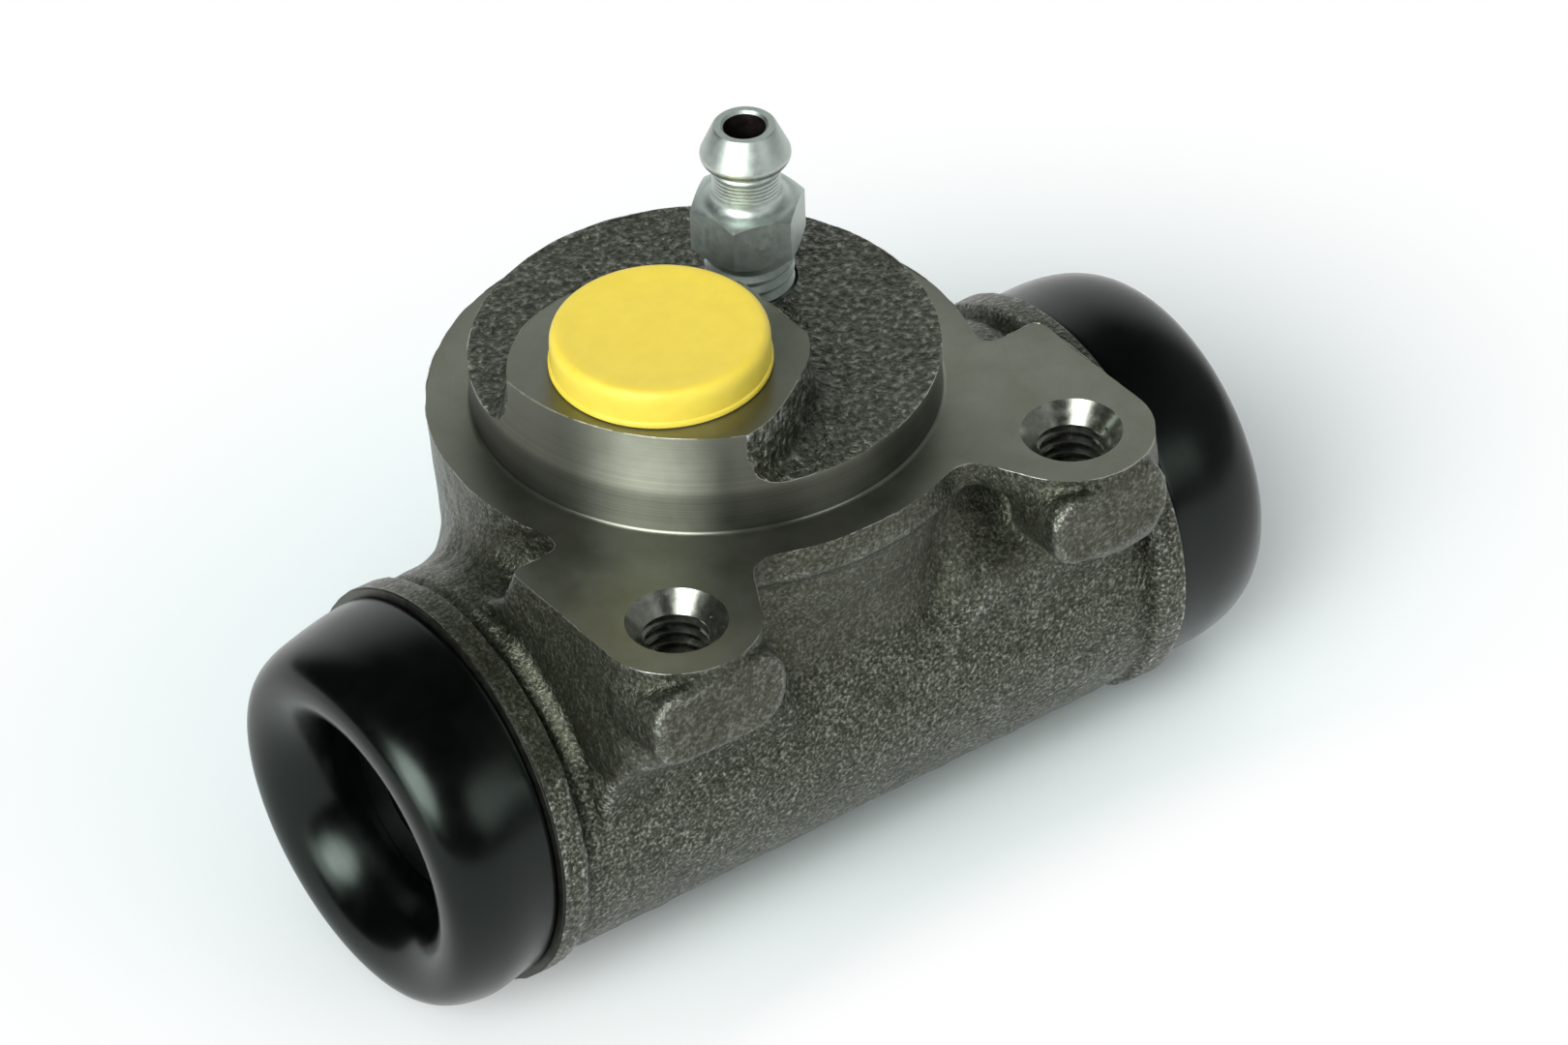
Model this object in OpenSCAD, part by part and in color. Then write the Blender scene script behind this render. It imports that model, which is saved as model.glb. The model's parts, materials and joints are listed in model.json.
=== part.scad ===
// Drum brake wheel cylinder: a cast iron body that bolts to a back plate by two ears,
// with two opposed pistons, their rubber cups and spring, dust boots, a bleed screw
// and the plastic plug that closes the brake pipe inlet before fitting.
// Origin: axis of the locating spigot, on the machined mounting face.
// +Z leaves the mounting face, +X runs along the barrel, the ears point to -Y.

/* [Mounting face] */
// Diameter of the locating spigot
spigot_d = 36; // [33:0.5:38]
// Height of the spigot above the mounting face
spigot_h = 3.9; // [2.5:0.1:5]
// Diameter of the round mounting pad
pad_d = 42.8; // [40:0.2:46]
// Depth of the round wall under the pad
pad_wall_depth = 12; // [10:0.5:15]
// Depth of the tapered underside below that wall
underside_depth = 10; // [6:0.5:12]
// Diameter of the tapered underside at its lower end
underside_d = 24; // [18:0.5:28]

/* [Ears] */
// Distance between the two bolt holes
bolt_spacing = 37; // [34:0.5:40]
// Distance from the spigot axis to the line of the bolt holes
bolt_offset = 21.5; // [20:0.5:23]
// Minor diameter of the bolt thread
bolt_minor_d = 5; // [4:0.1:5.5]
// Mouth diameter of the countersink over each bolt hole
bolt_sink_d = 7.7; // [6.6:0.1:8.4]
// Depth of the bolt holes
bolt_depth = 9; // [6:0.5:10]
// Radius of the ear around its bolt hole
ear_r = 6.3; // [5.5:0.1:7]
// Distance from the spigot axis to the back edge of the ears
ear_back = 9.1; // [7:0.1:11]
// Angle of the ear's inner flank to the X axis
ear_flank_angle = 60; // [50:1:70]
// Fillet between the ear's back edge and the round pad
ear_fillet_r = 2; // [1:0.1:2.5]
// Width of the flat lug under each ear
lug_w = 11.6; // [10:0.1:13]
// Height of the lug's front face
lug_h = 7; // [5:0.1:8]
// Depth of the lug's top edge below the mounting face
lug_top = 0.8; // [0.4:0.1:2]
// Distance the lug's front face stands out past the ear
lug_proud = 0.3; // [0:0.1:1]
// Corner radius of the lug's front face
lug_corner_r = 2; // [1:0.1:2.4]

/* [Barrel] */
// Diameter of the bore
bore_d = 22.2; // [19:0.1:23]
// Diameter of the barrel
barrel_d = 31.1; // [30:0.1:34]
// Diameter of the flange ring at each end of the barrel
flange_d = 32.3; // [31.5:0.1:35]
// Width of each flange ring
flange_w = 2.5; // [1.5:0.1:4]
// Length of the body between the outer faces of its flange rings
body_len = 59.1; // [57:0.1:64]
// Distance of the barrel axis from the spigot axis, towards the ears
barrel_offset = 5.1; // [4:0.1:6]
// Depth of the barrel axis below the mounting face
barrel_drop = 20.6; // [20:0.1:23]

/* [Boot seats] */
// Diameter of the turned seat beyond each flange ring
seat_d = 27.2; // [26:0.1:28.5]
// Length of the seat
seat_len = 3.6; // [3:0.1:4]
// Width of the groove in the seat
seat_groove_w = 1.5; // [1:0.1:1.8]
// Depth of the groove in the seat
seat_groove_depth = 0.7; // [0.4:0.1:0.9]
// Distance from the flange ring to the groove
seat_groove_at = 0.8; // [0.5:0.1:1]

/* [Inlet boss] */
// Height of the boss face above the mounting face
boss_h = 8.8; // [7:0.1:11]
// Radius of the boss around the inlet
boss_r = 11.3; // [10:0.1:12]
// Distance of the boss's flat side from the spigot axis
boss_flat = 3; // [2.4:0.1:3.8]
// Step between the spigot and the boss side that was turned with it
boss_step = 0.25; // [0.2:0.05:0.4]
// Distance of the inlet from the spigot axis
inlet_radius = 8.6; // [8:0.1:9]
// Direction of the inlet, around +Z from +X
inlet_angle = 212.5; // [208:0.5:216]
// Minor diameter of the inlet thread
inlet_d = 8.92; // [8:0.02:9.5]
// Depth of the inlet thread
inlet_depth = 11; // [9:0.5:13]
// Diameter of the drilling from the inlet to the bore
inlet_drill_d = 2.5; // [1.5:0.1:3]

/* [Bleed screw] */
// Distance of the bleed screw from the spigot axis
bleed_radius = 9.4; // [9:0.1:10]
// Direction of the bleed screw, around +Z from +X
bleed_angle = 32; // [28:0.5:36]
// Outside diameter of the bleed screw's thread
bleed_thread_d = 6.9; // [6:0.1:7.4]
// Depth of the bleed screw's thread below the spigot top
bleed_thread_depth = 10; // [8:0.5:11]
// Height of the thread that shows above the spigot top
bleed_thread_show = 3.5; // [2:0.1:5]
// Hexagon across flats
bleed_hex_af = 7.9; // [7.5:0.1:9]
// Height of the hexagon
bleed_hex_h = 4.1; // [3:0.1:5]
// Turn of the hexagon around its axis
bleed_hex_turn = 40; // [0:1:59]
// Diameter of the neck
bleed_neck_d = 5.3; // [4.8:0.1:5.6]
// Length of the neck above the hexagon
bleed_neck_len = 3.3; // [2.5:0.1:4.5]
// Widest diameter of the nipple
bleed_barb_d = 7; // [6:0.1:7.4]
// Height of the nipple's undercut shoulder
bleed_shoulder_h = 1.2; // [0.8:0.1:2]
// Height of the nipple's cone
bleed_cone_h = 2.3; // [1.8:0.1:3]
// Diameter of the nipple's top
bleed_top_d = 4.7; // [4.2:0.1:5]
// Diameter of the drilling along the bleed screw
bleed_hole_d = 3.2; // [2:0.1:3.4]
// Diameter of the cross drilling above the screw's tip
bleed_cross_d = 1.6; // [1:0.1:1.8]
// Diameter of the drilling from the bleed seat to the bore
bleed_drill_d = 1.8; // [1:0.1:1.8]
// Diameter of the spot face around the bleed screw
spot_face_d = 9; // [8.4:0.1:10]
// Depth of the spot face below the spigot top
spot_face_depth = 0.8; // [0.4:0.1:1.5]

/* [Inlet plug] */
// Diameter of the plug's head
plug_d = 17; // [14:0.1:18]
// Thickness of the plug's head
plug_h = 3.1; // [2.4:0.1:3.6]
// Rounding of the head's upper edge
plug_round = 0.5; // [0.3:0.1:1]
// Height of the thin lip at the foot of the head
plug_lip_h = 0.5; // [0.3:0.1:0.7]
// Distance the lip stands out from the head
plug_lip_proud = 0.15; // [0.1:0.05:0.3]
// Length of the stem inside the inlet
plug_stem_len = 7; // [5:0.5:8]
// Wall of the hollow stem
plug_stem_wall = 1.2; // [0.8:0.1:1.6]

/* [Pistons] */
// Length of a piston's guided body
piston_body_len = 12.9; // [11:0.1:14]
// Length of a piston's nose
nose_len = 5.8; // [5:0.1:6.5]
// Diameter of a piston's nose
nose_d = 16; // [15:0.1:17]
// Depth of the nose groove that holds the boot
nose_groove_depth = 0.5; // [0.3:0.1:0.7]
// Width of the nose groove
nose_groove_w = 1; // [0.8:0.1:1.4]
// Distance from the nose end to its groove
nose_groove_at = 0.7; // [0.5:0.1:1]
// Diameter of the socket that takes the brake shoe's tip
socket_d = 9.5; // [8:0.1:10]
// Depth of the socket
socket_depth = 9; // [7:0.5:11]
// Chamfer on the piston's edges
piston_chamfer = 0.5; // [0.2:0.1:0.8]

/* [Seals and spring] */
// Length of a piston cup
cup_len = 5.5; // [4.5:0.1:6]
// Thickness of a cup's base
cup_base = 2.6; // [2:0.1:3]
// Thickness of a cup's lip at its edge
cup_lip = 1.4; // [1:0.1:1.8]
// Thickness of a cup's lip at its root
cup_root = 3.4; // [2.8:0.1:4]
// Sheet thickness of a cup expander
expander_t = 0.8; // [0.5:0.1:1]
// Diameter of an expander's flat seat
expander_seat_d = 13.4; // [12.5:0.1:14]
// Diameter of an expander's open end
expander_d = 17; // [16:0.1:17.5]
// Wire diameter of the return spring
spring_wire = 1.1; // [0.8:0.1:1.3]
// Outside diameter of the return spring
spring_d = 11.4; // [10:0.1:11.6]
// Turns of the return spring
spring_turns = 6; // [4:1:8]

/* [Dust boots] */
// Thickness of a boot's band over its seat
boot_band = 1.85; // [1.5:0.05:2.4]
// Distance the left boot reaches past the flange ring
boot_reach_left = 9.6; // [8.5:0.1:11]
// Distance the right boot reaches past the flange ring
boot_reach_right = 10.2; // [8.5:0.1:12]
// Wall of a boot where it rolls into its mouth
boot_wall = 1.7; // [1.2:0.1:1.8]
// Diameter of a boot's crest, its furthest circle
boot_crest_d = 23.6; // [21:0.1:24.4]
// Length of the rounding between a boot's side and its crest
boot_round = 6; // [5:0.1:6.4]
// Fullness of that rounding: 2 is an ellipse, more is squarer
boot_fullness = 2.4; // [2:0.1:3]
// Depth of a boot's mouth behind its crest
boot_mouth_depth = 7.6; // [7:0.1:8]
// Length of the lip that holds the piston's nose
boot_lip_len = 1.6; // [1.4:0.1:2]

/* [Fits] */
// Radial clearance of a piston in the bore
piston_clearance = 0.03; // [0.01:0.01:0.1]
// Radial clearance of a cup in the bore
cup_clearance = 0.05; // [0.03:0.01:0.1]
// Radial clearance of the bleed screw in its hole
bleed_clearance = 0.05; // [0.02:0.01:0.1]
// Radial clearance of the plug's stem in the inlet
plug_clearance = 0.06; // [0.02:0.01:0.1]
// Gap between parts that seat on each other
seat_gap = 0.05; // [0.02:0.01:0.1]

/* [Hidden] */

$fn = 96;
cut = 0.5;
left = -1;
right = 1;

cast_iron = "#4a4740";
zinc = "#b9bfc0";
rubber = "#1a1c1c";
plastic_yellow = "#f4d75f";
anodised = "#26282a";
spring_steel = "#8f9394";

body_half = body_len / 2;
bore_r = bore_d / 2;
barrel_r = barrel_d / 2;
barrel_front = -barrel_offset - barrel_r;
bolt_x = bolt_spacing / 2;
ear_outer = bolt_x + ear_r;
ear_front = -bolt_offset - ear_r;
lug_face = ear_front - lug_proud;
lug_bottom = lug_top + lug_h;
flank_slope = tan(ear_flank_angle);
drill_point_angle = 59;
// The ear's fillet runs this far into the round pad, so that the two cross cleanly
fillet_bite = 0.06;

inlet_x = inlet_radius * cos(inlet_angle);
inlet_y = inlet_radius * sin(inlet_angle);
bleed_x = bleed_radius * cos(bleed_angle);
bleed_y = bleed_radius * sin(bleed_angle);
bleed_hole_r = bleed_thread_d / 2 + bleed_clearance;
bleed_floor = spigot_h - bleed_thread_depth;
hex_foot = spigot_h + bleed_thread_show;
hex_top = hex_foot + bleed_hex_h;
shoulder_foot = hex_top + bleed_neck_len;
barb_z = shoulder_foot + bleed_shoulder_h;
nipple_top = barb_z + bleed_cone_h;

seat_r = seat_d / 2;
nose_r = nose_d / 2;
piston_len = piston_body_len + nose_len;
nose_set_back = boot_mouth_depth - seat_gap;
boot_bore_r = seat_r + seat_gap;
boot_r = seat_r + boot_band;
boot_crest_r = boot_crest_d / 2;
boot_lip_r = nose_r + seat_gap;
cup_r = bore_r - cup_clearance;

function boot_reach(side) = side == left ? boot_reach_left : boot_reach_right;
function nose_end(side) = body_half + boot_reach(side) - nose_set_back;
function piston_face(side) = nose_end(side) - piston_len;
function spring_seat(side) = piston_face(side) - seat_gap * 2 - cup_base - expander_t;

// A power of a number that keeps its sign
function signed_pow(value, power) = sign(value) * pow(abs(value), power);

// Points on a quarter of an ellipse, from angle a to angle b, or of a squarer oval where fullness is over 2
function arc(centre, radii, a, b, steps = 10, fullness = 2) = [
    for (i = [0 : steps])
        let (
            t = a + (b - a) * i / steps,
            power = 2 / fullness
        )
        [
            centre[0] + radii[0] * signed_pow(cos(t), power),
            centre[1] + radii[1] * signed_pow(sin(t), power)
        ]
];

// Turns a profile of [radius, distance along the barrel] about the barrel axis
module turned(side) {
    translate([0, -barrel_offset, -barrel_drop])
        mirror([side == left ? 1 : 0, 0, 0])
            rotate([0, 90, 0])
                rotate_extrude()
                    children();
}

// A cylinder along the barrel axis, from one distance to another
module along_barrel(d, from, to) {
    translate([from, -barrel_offset, -barrel_drop])
        rotate([0, 90, 0])
            cylinder(d = d, h = to - from);
}

// Plan of the right ear, with the fillet where its back edge meets the round pad
module ear_plan() {
    tangent = [bolt_x - ear_r * sin(ear_flank_angle), -bolt_offset - ear_r * cos(ear_flank_angle)];
    flank_rise = bolt_offset + ear_r * cos(ear_flank_angle) - ear_back;
    fillet_y = ear_fillet_r - ear_back;
    fillet_x = sqrt(pow(pad_d / 2 + ear_fillet_r - fillet_bite, 2) - pow(fillet_y, 2));
    fillet_end = (pad_d / 2 - ear_fillet_r) / (pad_d / 2 + ear_fillet_r);
    translate([bolt_x, -bolt_offset])
        circle(r = ear_r);
    polygon([
        [ear_outer, -ear_back], [ear_outer, -bolt_offset], [bolt_x, -bolt_offset], tangent,
        [tangent[0] - flank_rise / flank_slope, -ear_back]
    ]);
    difference() {
        polygon([
            [bolt_x / 2, -ear_back], [fillet_x, -ear_back], [fillet_x, fillet_y],
            [fillet_x * fillet_end, fillet_y * fillet_end]
        ]);
        translate([fillet_x, fillet_y])
            circle(r = ear_fillet_r);
    }
}

// Side view of an ear: a straight front, and an underside that slopes back into the barrel
module ear_side_view() {
    slope_end = lug_bottom + barrel_front - lug_face;
    rotate([90, 0, 90])
        linear_extrude(ear_outer + cut)
            polygon([
                [lug_face, 0], [lug_face, -lug_bottom], [barrel_front, -slope_end],
                [-barrel_offset, -slope_end], [-barrel_offset, 0], [0, 0]
            ]);
}

// Front face of the lug: a rectangle with round corners
module lug_face_view() {
    for (x = [lug_corner_r, lug_w - lug_corner_r])
        for (y = [lug_corner_r, lug_h - lug_corner_r])
            translate([x, y])
                circle(r = lug_corner_r);
    translate([lug_corner_r, 0])
        square([lug_w - 2 * lug_corner_r, lug_h]);
    translate([0, lug_corner_r])
        square([lug_w, lug_h - 2 * lug_corner_r]);
}

module ear() {
    intersection() {
        translate([0, 0, -barrel_drop])
            linear_extrude(barrel_drop)
                ear_plan();
        ear_side_view();
    }
    translate([ear_outer - lug_w, barrel_front, -lug_bottom])
        rotate([90, 0, 0])
            linear_extrude(barrel_front - lug_face)
                lug_face_view();
}

// The boss around the inlet, turned off with the spigot at its front
module inlet_boss() {
    intersection() {
        translate([inlet_x, inlet_y, 0])
            cylinder(r = boss_r, h = boss_h);
        cylinder(d = spigot_d - 2 * boss_step, h = boss_h);
        translate([boss_flat - spigot_d, -spigot_d, 0])
            cube([spigot_d, 2 * spigot_d, boss_h]);
    }
}

// The turned seat of a boot, with the groove that holds the boot's bead
module boot_seat(side) {
    groove_end = seat_groove_at + seat_groove_w;
    turned(side)
        polygon([
            [0, body_half - flange_w], [seat_r, body_half - flange_w], [seat_r, body_half + seat_groove_at],
            [seat_r - seat_groove_depth, body_half + seat_groove_at],
            [seat_r - seat_groove_depth, body_half + groove_end], [seat_r, body_half + groove_end],
            [seat_r, body_half + seat_len], [0, body_half + seat_len]
        ]);
}

module body_solid() {
    along_barrel(barrel_d, -body_half + flange_w / 2, body_half - flange_w / 2);
    along_barrel(flange_d, -body_half, -body_half + flange_w);
    along_barrel(flange_d, body_half - flange_w, body_half);
    for (side = [left, right])
        boot_seat(side);
    translate([0, 0, -pad_wall_depth])
        cylinder(d = pad_d, h = pad_wall_depth);
    translate([0, 0, -pad_wall_depth - underside_depth])
        cylinder(d1 = underside_d, d2 = pad_d, h = underside_depth);
    ear();
    mirror([1, 0, 0])
        ear();
    cylinder(d = spigot_d, h = spigot_h);
    inlet_boss();
}

// A tapped hole with a countersunk mouth and a drill point at its end
module bolt_hole() {
    sink_depth = (bolt_sink_d - bolt_minor_d) / 2;
    point_h = bolt_minor_d / 2 / tan(drill_point_angle);
    translate([0, 0, -bolt_depth])
        cylinder(d = bolt_minor_d, h = bolt_depth + cut);
    translate([0, 0, -sink_depth])
        cylinder(d1 = bolt_minor_d, d2 = bolt_sink_d, h = sink_depth);
    translate([0, 0, -bolt_depth - point_h])
        cylinder(d1 = 0, d2 = bolt_minor_d, h = point_h);
}

// The inlet: a tapped hole with a conical pipe seat, drilled on into the bore
module inlet_passage() {
    seat_h = (inlet_d - inlet_drill_d) / 2;
    floor_z = boss_h - inlet_depth;
    translate([inlet_x, inlet_y, floor_z])
        cylinder(d = inlet_d, h = inlet_depth + cut);
    translate([inlet_x, inlet_y, floor_z - seat_h])
        cylinder(d1 = inlet_drill_d, d2 = inlet_d, h = seat_h);
    translate([inlet_x, inlet_y, -barrel_drop])
        cylinder(d = inlet_drill_d, h = barrel_drop + floor_z);
}

// The bleed hole: a spot face, a tapped hole and a conical seat, drilled on into the bore
module bleed_passage() {
    seat_h = bleed_hole_r - bleed_drill_d / 2;
    translate([bleed_x, bleed_y, spigot_h - spot_face_depth])
        cylinder(d = spot_face_d, h = spot_face_depth + cut);
    translate([bleed_x, bleed_y, bleed_floor])
        cylinder(r = bleed_hole_r, h = bleed_thread_depth);
    translate([bleed_x, bleed_y, bleed_floor - seat_h])
        cylinder(d1 = bleed_drill_d, r2 = bleed_hole_r, h = seat_h);
    translate([bleed_x, bleed_y, -barrel_drop])
        cylinder(d = bleed_drill_d, h = barrel_drop + bleed_floor);
}

module cylinder_body() {
    color(cast_iron)
        difference() {
            body_solid();
            along_barrel(bore_d, -body_half - seat_len - cut, body_half + seat_len + cut);
            for (side = [left, right])
                translate([side * bolt_x, -bolt_offset, 0])
                    bolt_hole();
            inlet_passage();
            bleed_passage();
        }
}

// A piston: a guided body, a grooved nose for the boot and a socket for the brake shoe's tip
module piston(side) {
    r = bore_r - piston_clearance;
    face = piston_face(side);
    end = nose_end(side);
    shoulder = face + piston_body_len;
    groove_r = nose_r - nose_groove_depth;
    groove_end = end - nose_groove_at;
    color(anodised)
        turned(side)
            polygon([
                [0, face], [r - piston_chamfer, face], [r, face + piston_chamfer],
                [r, shoulder - piston_chamfer], [r - piston_chamfer, shoulder], [nose_r, shoulder],
                [nose_r, groove_end - nose_groove_w], [groove_r, groove_end - nose_groove_w],
                [groove_r, groove_end], [nose_r, groove_end], [nose_r, end],
                [socket_d / 2, end], [socket_d / 2, end - socket_depth], [0, end - socket_depth]
            ]);
}

module piston_left() {
    piston(left);
}

module piston_right() {
    piston(right);
}

// A piston cup: a disc with a flared lip that points to the middle of the bore
module piston_cup(side) {
    back = piston_face(side) - seat_gap;
    color(rubber)
        turned(side)
            polygon([
                [0, back], [cup_r, back], [cup_r, back - cup_len], [cup_r - cup_lip, back - cup_len],
                [cup_r - cup_root, back - cup_base], [0, back - cup_base]
            ]);
}

module piston_cup_left() {
    piston_cup(left);
}

module piston_cup_right() {
    piston_cup(right);
}

// A cup expander: a pressed dish between a cup and the spring
module cup_expander(side) {
    back = piston_face(side) - 2 * seat_gap - cup_base;
    open = back - cup_len + cup_base;
    seat = expander_seat_d / 2;
    rim = expander_d / 2;
    color(spring_steel)
        turned(side)
            polygon([
                [0, back], [seat, back], [rim, open], [rim - expander_t, open],
                [seat - expander_t, back - expander_t], [0, back - expander_t]
            ]);
}

module cup_expander_left() {
    cup_expander(left);
}

module cup_expander_right() {
    cup_expander(right);
}

// The spring: one wire swept along a helix between the two expanders
module return_spring() {
    wire_r = spring_wire / 2;
    coil_r = spring_d / 2 - wire_r;
    from = -spring_seat(left) + wire_r + seat_gap;
    length = spring_seat(right) - wire_r - seat_gap - from;
    sides = 8;
    rings = spring_turns * 20;
    pitch_angle = atan(length / (spring_turns * 360) * 180 / PI / coil_r);
    points = [
        for (i = [0 : rings])
            let (turn = 360 * spring_turns * i / rings)
            for (j = [0 : sides - 1])
                let (
                    a = 360 * j / sides,
                    out = coil_r + wire_r * cos(a),
                    over = wire_r * sin(a) * sin(pitch_angle),
                    x = from + length * i / rings + wire_r * sin(a) * cos(pitch_angle)
                )
                [x, out * cos(turn) + over * sin(turn), out * sin(turn) - over * cos(turn)]
    ];
    walls = [
        for (i = [0 : rings - 1])
            for (j = [0 : sides - 1])
                let (k = (j + 1) % sides)
                [i * sides + j, (i + 1) * sides + j, (i + 1) * sides + k, i * sides + k]
    ];
    ends = [
        [for (j = [0 : sides - 1]) j],
        [for (j = [sides - 1 : -1 : 0]) rings * sides + j]
    ];
    color(spring_steel)
        translate([0, -barrel_offset, -barrel_drop])
            polyhedron(points, concat(walls, ends));
}

// A dust boot: its bead sits in the seat's groove, its side rolls over a crest into the mouth,
// and its lip holds the piston's nose
module dust_boot(side) {
    reach = body_half + boot_reach(side);
    foot = body_half + seat_gap;
    side_end = reach - boot_round;
    hollow_from = body_half + seat_len + seat_gap;
    mouth = reach - boot_mouth_depth;
    lip_back = mouth - boot_lip_len;
    bead_r = seat_r - seat_groove_depth + seat_gap;
    bead_from = body_half + seat_groove_at + seat_gap;
    bead_to = bead_from + seat_groove_w - 2 * seat_gap;
    nib_r = nose_r - nose_groove_depth + seat_gap;
    nib_to = nose_end(side) - nose_groove_at - seat_gap;
    nib_from = nib_to - nose_groove_w + 2 * seat_gap;
    color(rubber)
        turned(side)
            polygon(concat(
                [[boot_bore_r, foot], [boot_r, foot]],
                arc(
                    [boot_crest_r, side_end], [boot_r - boot_crest_r, boot_round],
                    0, 90, fullness = boot_fullness
                ),
                arc([boot_crest_r, mouth], [boot_crest_r - boot_lip_r, boot_mouth_depth], 90, 180),
                [[boot_lip_r, nib_to], [nib_r, nib_to], [nib_r, nib_from], [boot_lip_r, nib_from]],
                [[boot_lip_r, lip_back], [boot_lip_r + boot_wall, lip_back]],
                arc(
                    [boot_crest_r, mouth],
                    [boot_crest_r - boot_lip_r - boot_wall, boot_mouth_depth - boot_wall],
                    180, 90
                ),
                arc(
                    [boot_crest_r, hollow_from],
                    [boot_bore_r - boot_crest_r, reach - boot_wall - hollow_from],
                    90, 0, fullness = boot_fullness
                ),
                [[boot_bore_r, bead_to], [bead_r, bead_to], [bead_r, bead_from], [boot_bore_r, bead_from]]
            ));
}

module dust_boot_left() {
    dust_boot(left);
}

module dust_boot_right() {
    dust_boot(right);
}

// The bleed screw: a threaded shank with a conical tip, a hexagon and a hose nipple
module bleed_screw() {
    shank_r = bleed_thread_d / 2;
    tip_r = bleed_drill_d / 2;
    corner_r = bleed_hex_af / 2 / cos(30);
    chamfer = (corner_r - bleed_hex_af / 2) * 0.9;
    tip_z = bleed_floor + seat_gap - shank_r + tip_r;
    blind_z = bleed_floor + bleed_cross_d;
    color(zinc)
        translate([bleed_x, bleed_y, 0])
            difference() {
                union() {
                    rotate_extrude()
                        polygon([
                            [0, tip_z], [tip_r, tip_z], [shank_r, bleed_floor + seat_gap],
                            [shank_r, hex_foot + chamfer], [0, hex_foot + chamfer]
                        ]);
                    intersection() {
                        translate([0, 0, hex_foot])
                            rotate([0, 0, bleed_hex_turn])
                                cylinder(r = corner_r, h = bleed_hex_h, $fn = 6);
                        rotate_extrude()
                            polygon([
                                [0, hex_foot], [bleed_hex_af / 2, hex_foot], [corner_r, hex_foot + chamfer],
                                [corner_r, hex_top - chamfer], [bleed_hex_af / 2, hex_top], [0, hex_top]
                            ]);
                    }
                    rotate_extrude()
                        polygon([
                            [0, hex_top - chamfer], [bleed_neck_d / 2, hex_top - chamfer],
                            [bleed_neck_d / 2, shoulder_foot], [bleed_barb_d / 2, barb_z],
                            [bleed_top_d / 2, nipple_top], [0, nipple_top]
                        ]);
                }
                translate([0, 0, blind_z])
                    cylinder(d = bleed_hole_d, h = nipple_top - blind_z + cut);
                translate([0, 0, blind_z])
                    rotate([90, 0, 0])
                        cylinder(d = bleed_cross_d, h = bleed_thread_d + cut, center = true);
            }
}

// The plug: a round head with a thin lip, and a hollow stem pushed into the inlet
module inlet_plug() {
    head_z = boss_h + seat_gap;
    head_r = plug_d / 2;
    body_r = head_r - plug_lip_proud;
    stem_r = inlet_d / 2 - plug_clearance;
    hollow_r = stem_r - plug_stem_wall;
    top_z = head_z + plug_h;
    color(plastic_yellow)
        translate([inlet_x, inlet_y, 0])
            rotate_extrude()
                polygon(concat(
                    [[0, head_z], [hollow_r, head_z], [hollow_r, head_z - plug_stem_len]],
                    [[stem_r, head_z - plug_stem_len], [stem_r, head_z], [head_r, head_z]],
                    [[head_r, head_z + plug_lip_h], [body_r, head_z + plug_lip_h]],
                    arc([body_r - plug_round, top_z - plug_round], [plug_round, plug_round], 0, 90, 6),
                    [[0, top_z]]
                ));
}

cylinder_body();
piston_left();
piston_right();
piston_cup_left();
piston_cup_right();
cup_expander_left();
cup_expander_right();
return_spring();
dust_boot_left();
dust_boot_right();
bleed_screw();
inlet_plug();
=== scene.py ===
"""A drum brake wheel cylinder on a white floor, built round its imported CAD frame.

The body is made the way the real one is: a raw casting first, then cutters that turn, bore and tap it.
Meshes are made in millimetres and scaled to the frame's metres when they are placed.
"""

import json
import math

import bpy
import numpy as np
import openvdb
from mathutils import Matrix, Vector
from mathutils.noise import noise as noise_at


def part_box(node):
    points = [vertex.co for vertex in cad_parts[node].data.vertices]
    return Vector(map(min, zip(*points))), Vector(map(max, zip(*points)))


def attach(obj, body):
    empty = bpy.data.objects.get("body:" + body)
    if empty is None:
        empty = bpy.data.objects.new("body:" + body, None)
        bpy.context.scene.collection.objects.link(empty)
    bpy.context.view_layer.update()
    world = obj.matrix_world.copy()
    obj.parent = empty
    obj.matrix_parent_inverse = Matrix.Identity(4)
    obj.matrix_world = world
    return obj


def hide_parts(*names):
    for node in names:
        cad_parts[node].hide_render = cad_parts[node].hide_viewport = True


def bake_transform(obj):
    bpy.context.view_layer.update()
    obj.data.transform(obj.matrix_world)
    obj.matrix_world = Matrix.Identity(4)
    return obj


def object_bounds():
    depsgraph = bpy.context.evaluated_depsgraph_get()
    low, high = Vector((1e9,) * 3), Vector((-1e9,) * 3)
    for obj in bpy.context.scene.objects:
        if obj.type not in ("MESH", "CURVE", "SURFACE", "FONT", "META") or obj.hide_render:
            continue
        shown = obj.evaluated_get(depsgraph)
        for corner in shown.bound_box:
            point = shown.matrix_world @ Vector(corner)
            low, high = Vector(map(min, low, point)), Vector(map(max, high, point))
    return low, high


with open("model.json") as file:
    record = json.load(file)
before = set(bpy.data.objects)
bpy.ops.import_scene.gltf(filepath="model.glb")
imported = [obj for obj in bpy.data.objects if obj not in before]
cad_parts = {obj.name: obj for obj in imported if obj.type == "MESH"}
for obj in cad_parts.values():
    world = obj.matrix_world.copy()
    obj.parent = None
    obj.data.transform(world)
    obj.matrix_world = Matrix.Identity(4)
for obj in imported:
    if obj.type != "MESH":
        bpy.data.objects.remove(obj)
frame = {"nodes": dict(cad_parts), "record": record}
cad_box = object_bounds()

MM = 0.001
FULL_TURN = 2 * math.pi
MOUNTS = {mount["name"]: mount for mount in frame["record"]["mounts"]}


def place_of(mount):
    """Where a mount is, in millimetres."""
    return np.array(MOUNTS[mount]["pos_m"]) / MM


def box_of(node):
    """Lowest and highest corner of a CAD node, in millimetres."""
    low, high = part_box(node)
    return np.array(low) / MM, np.array(high) / MM


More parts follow.
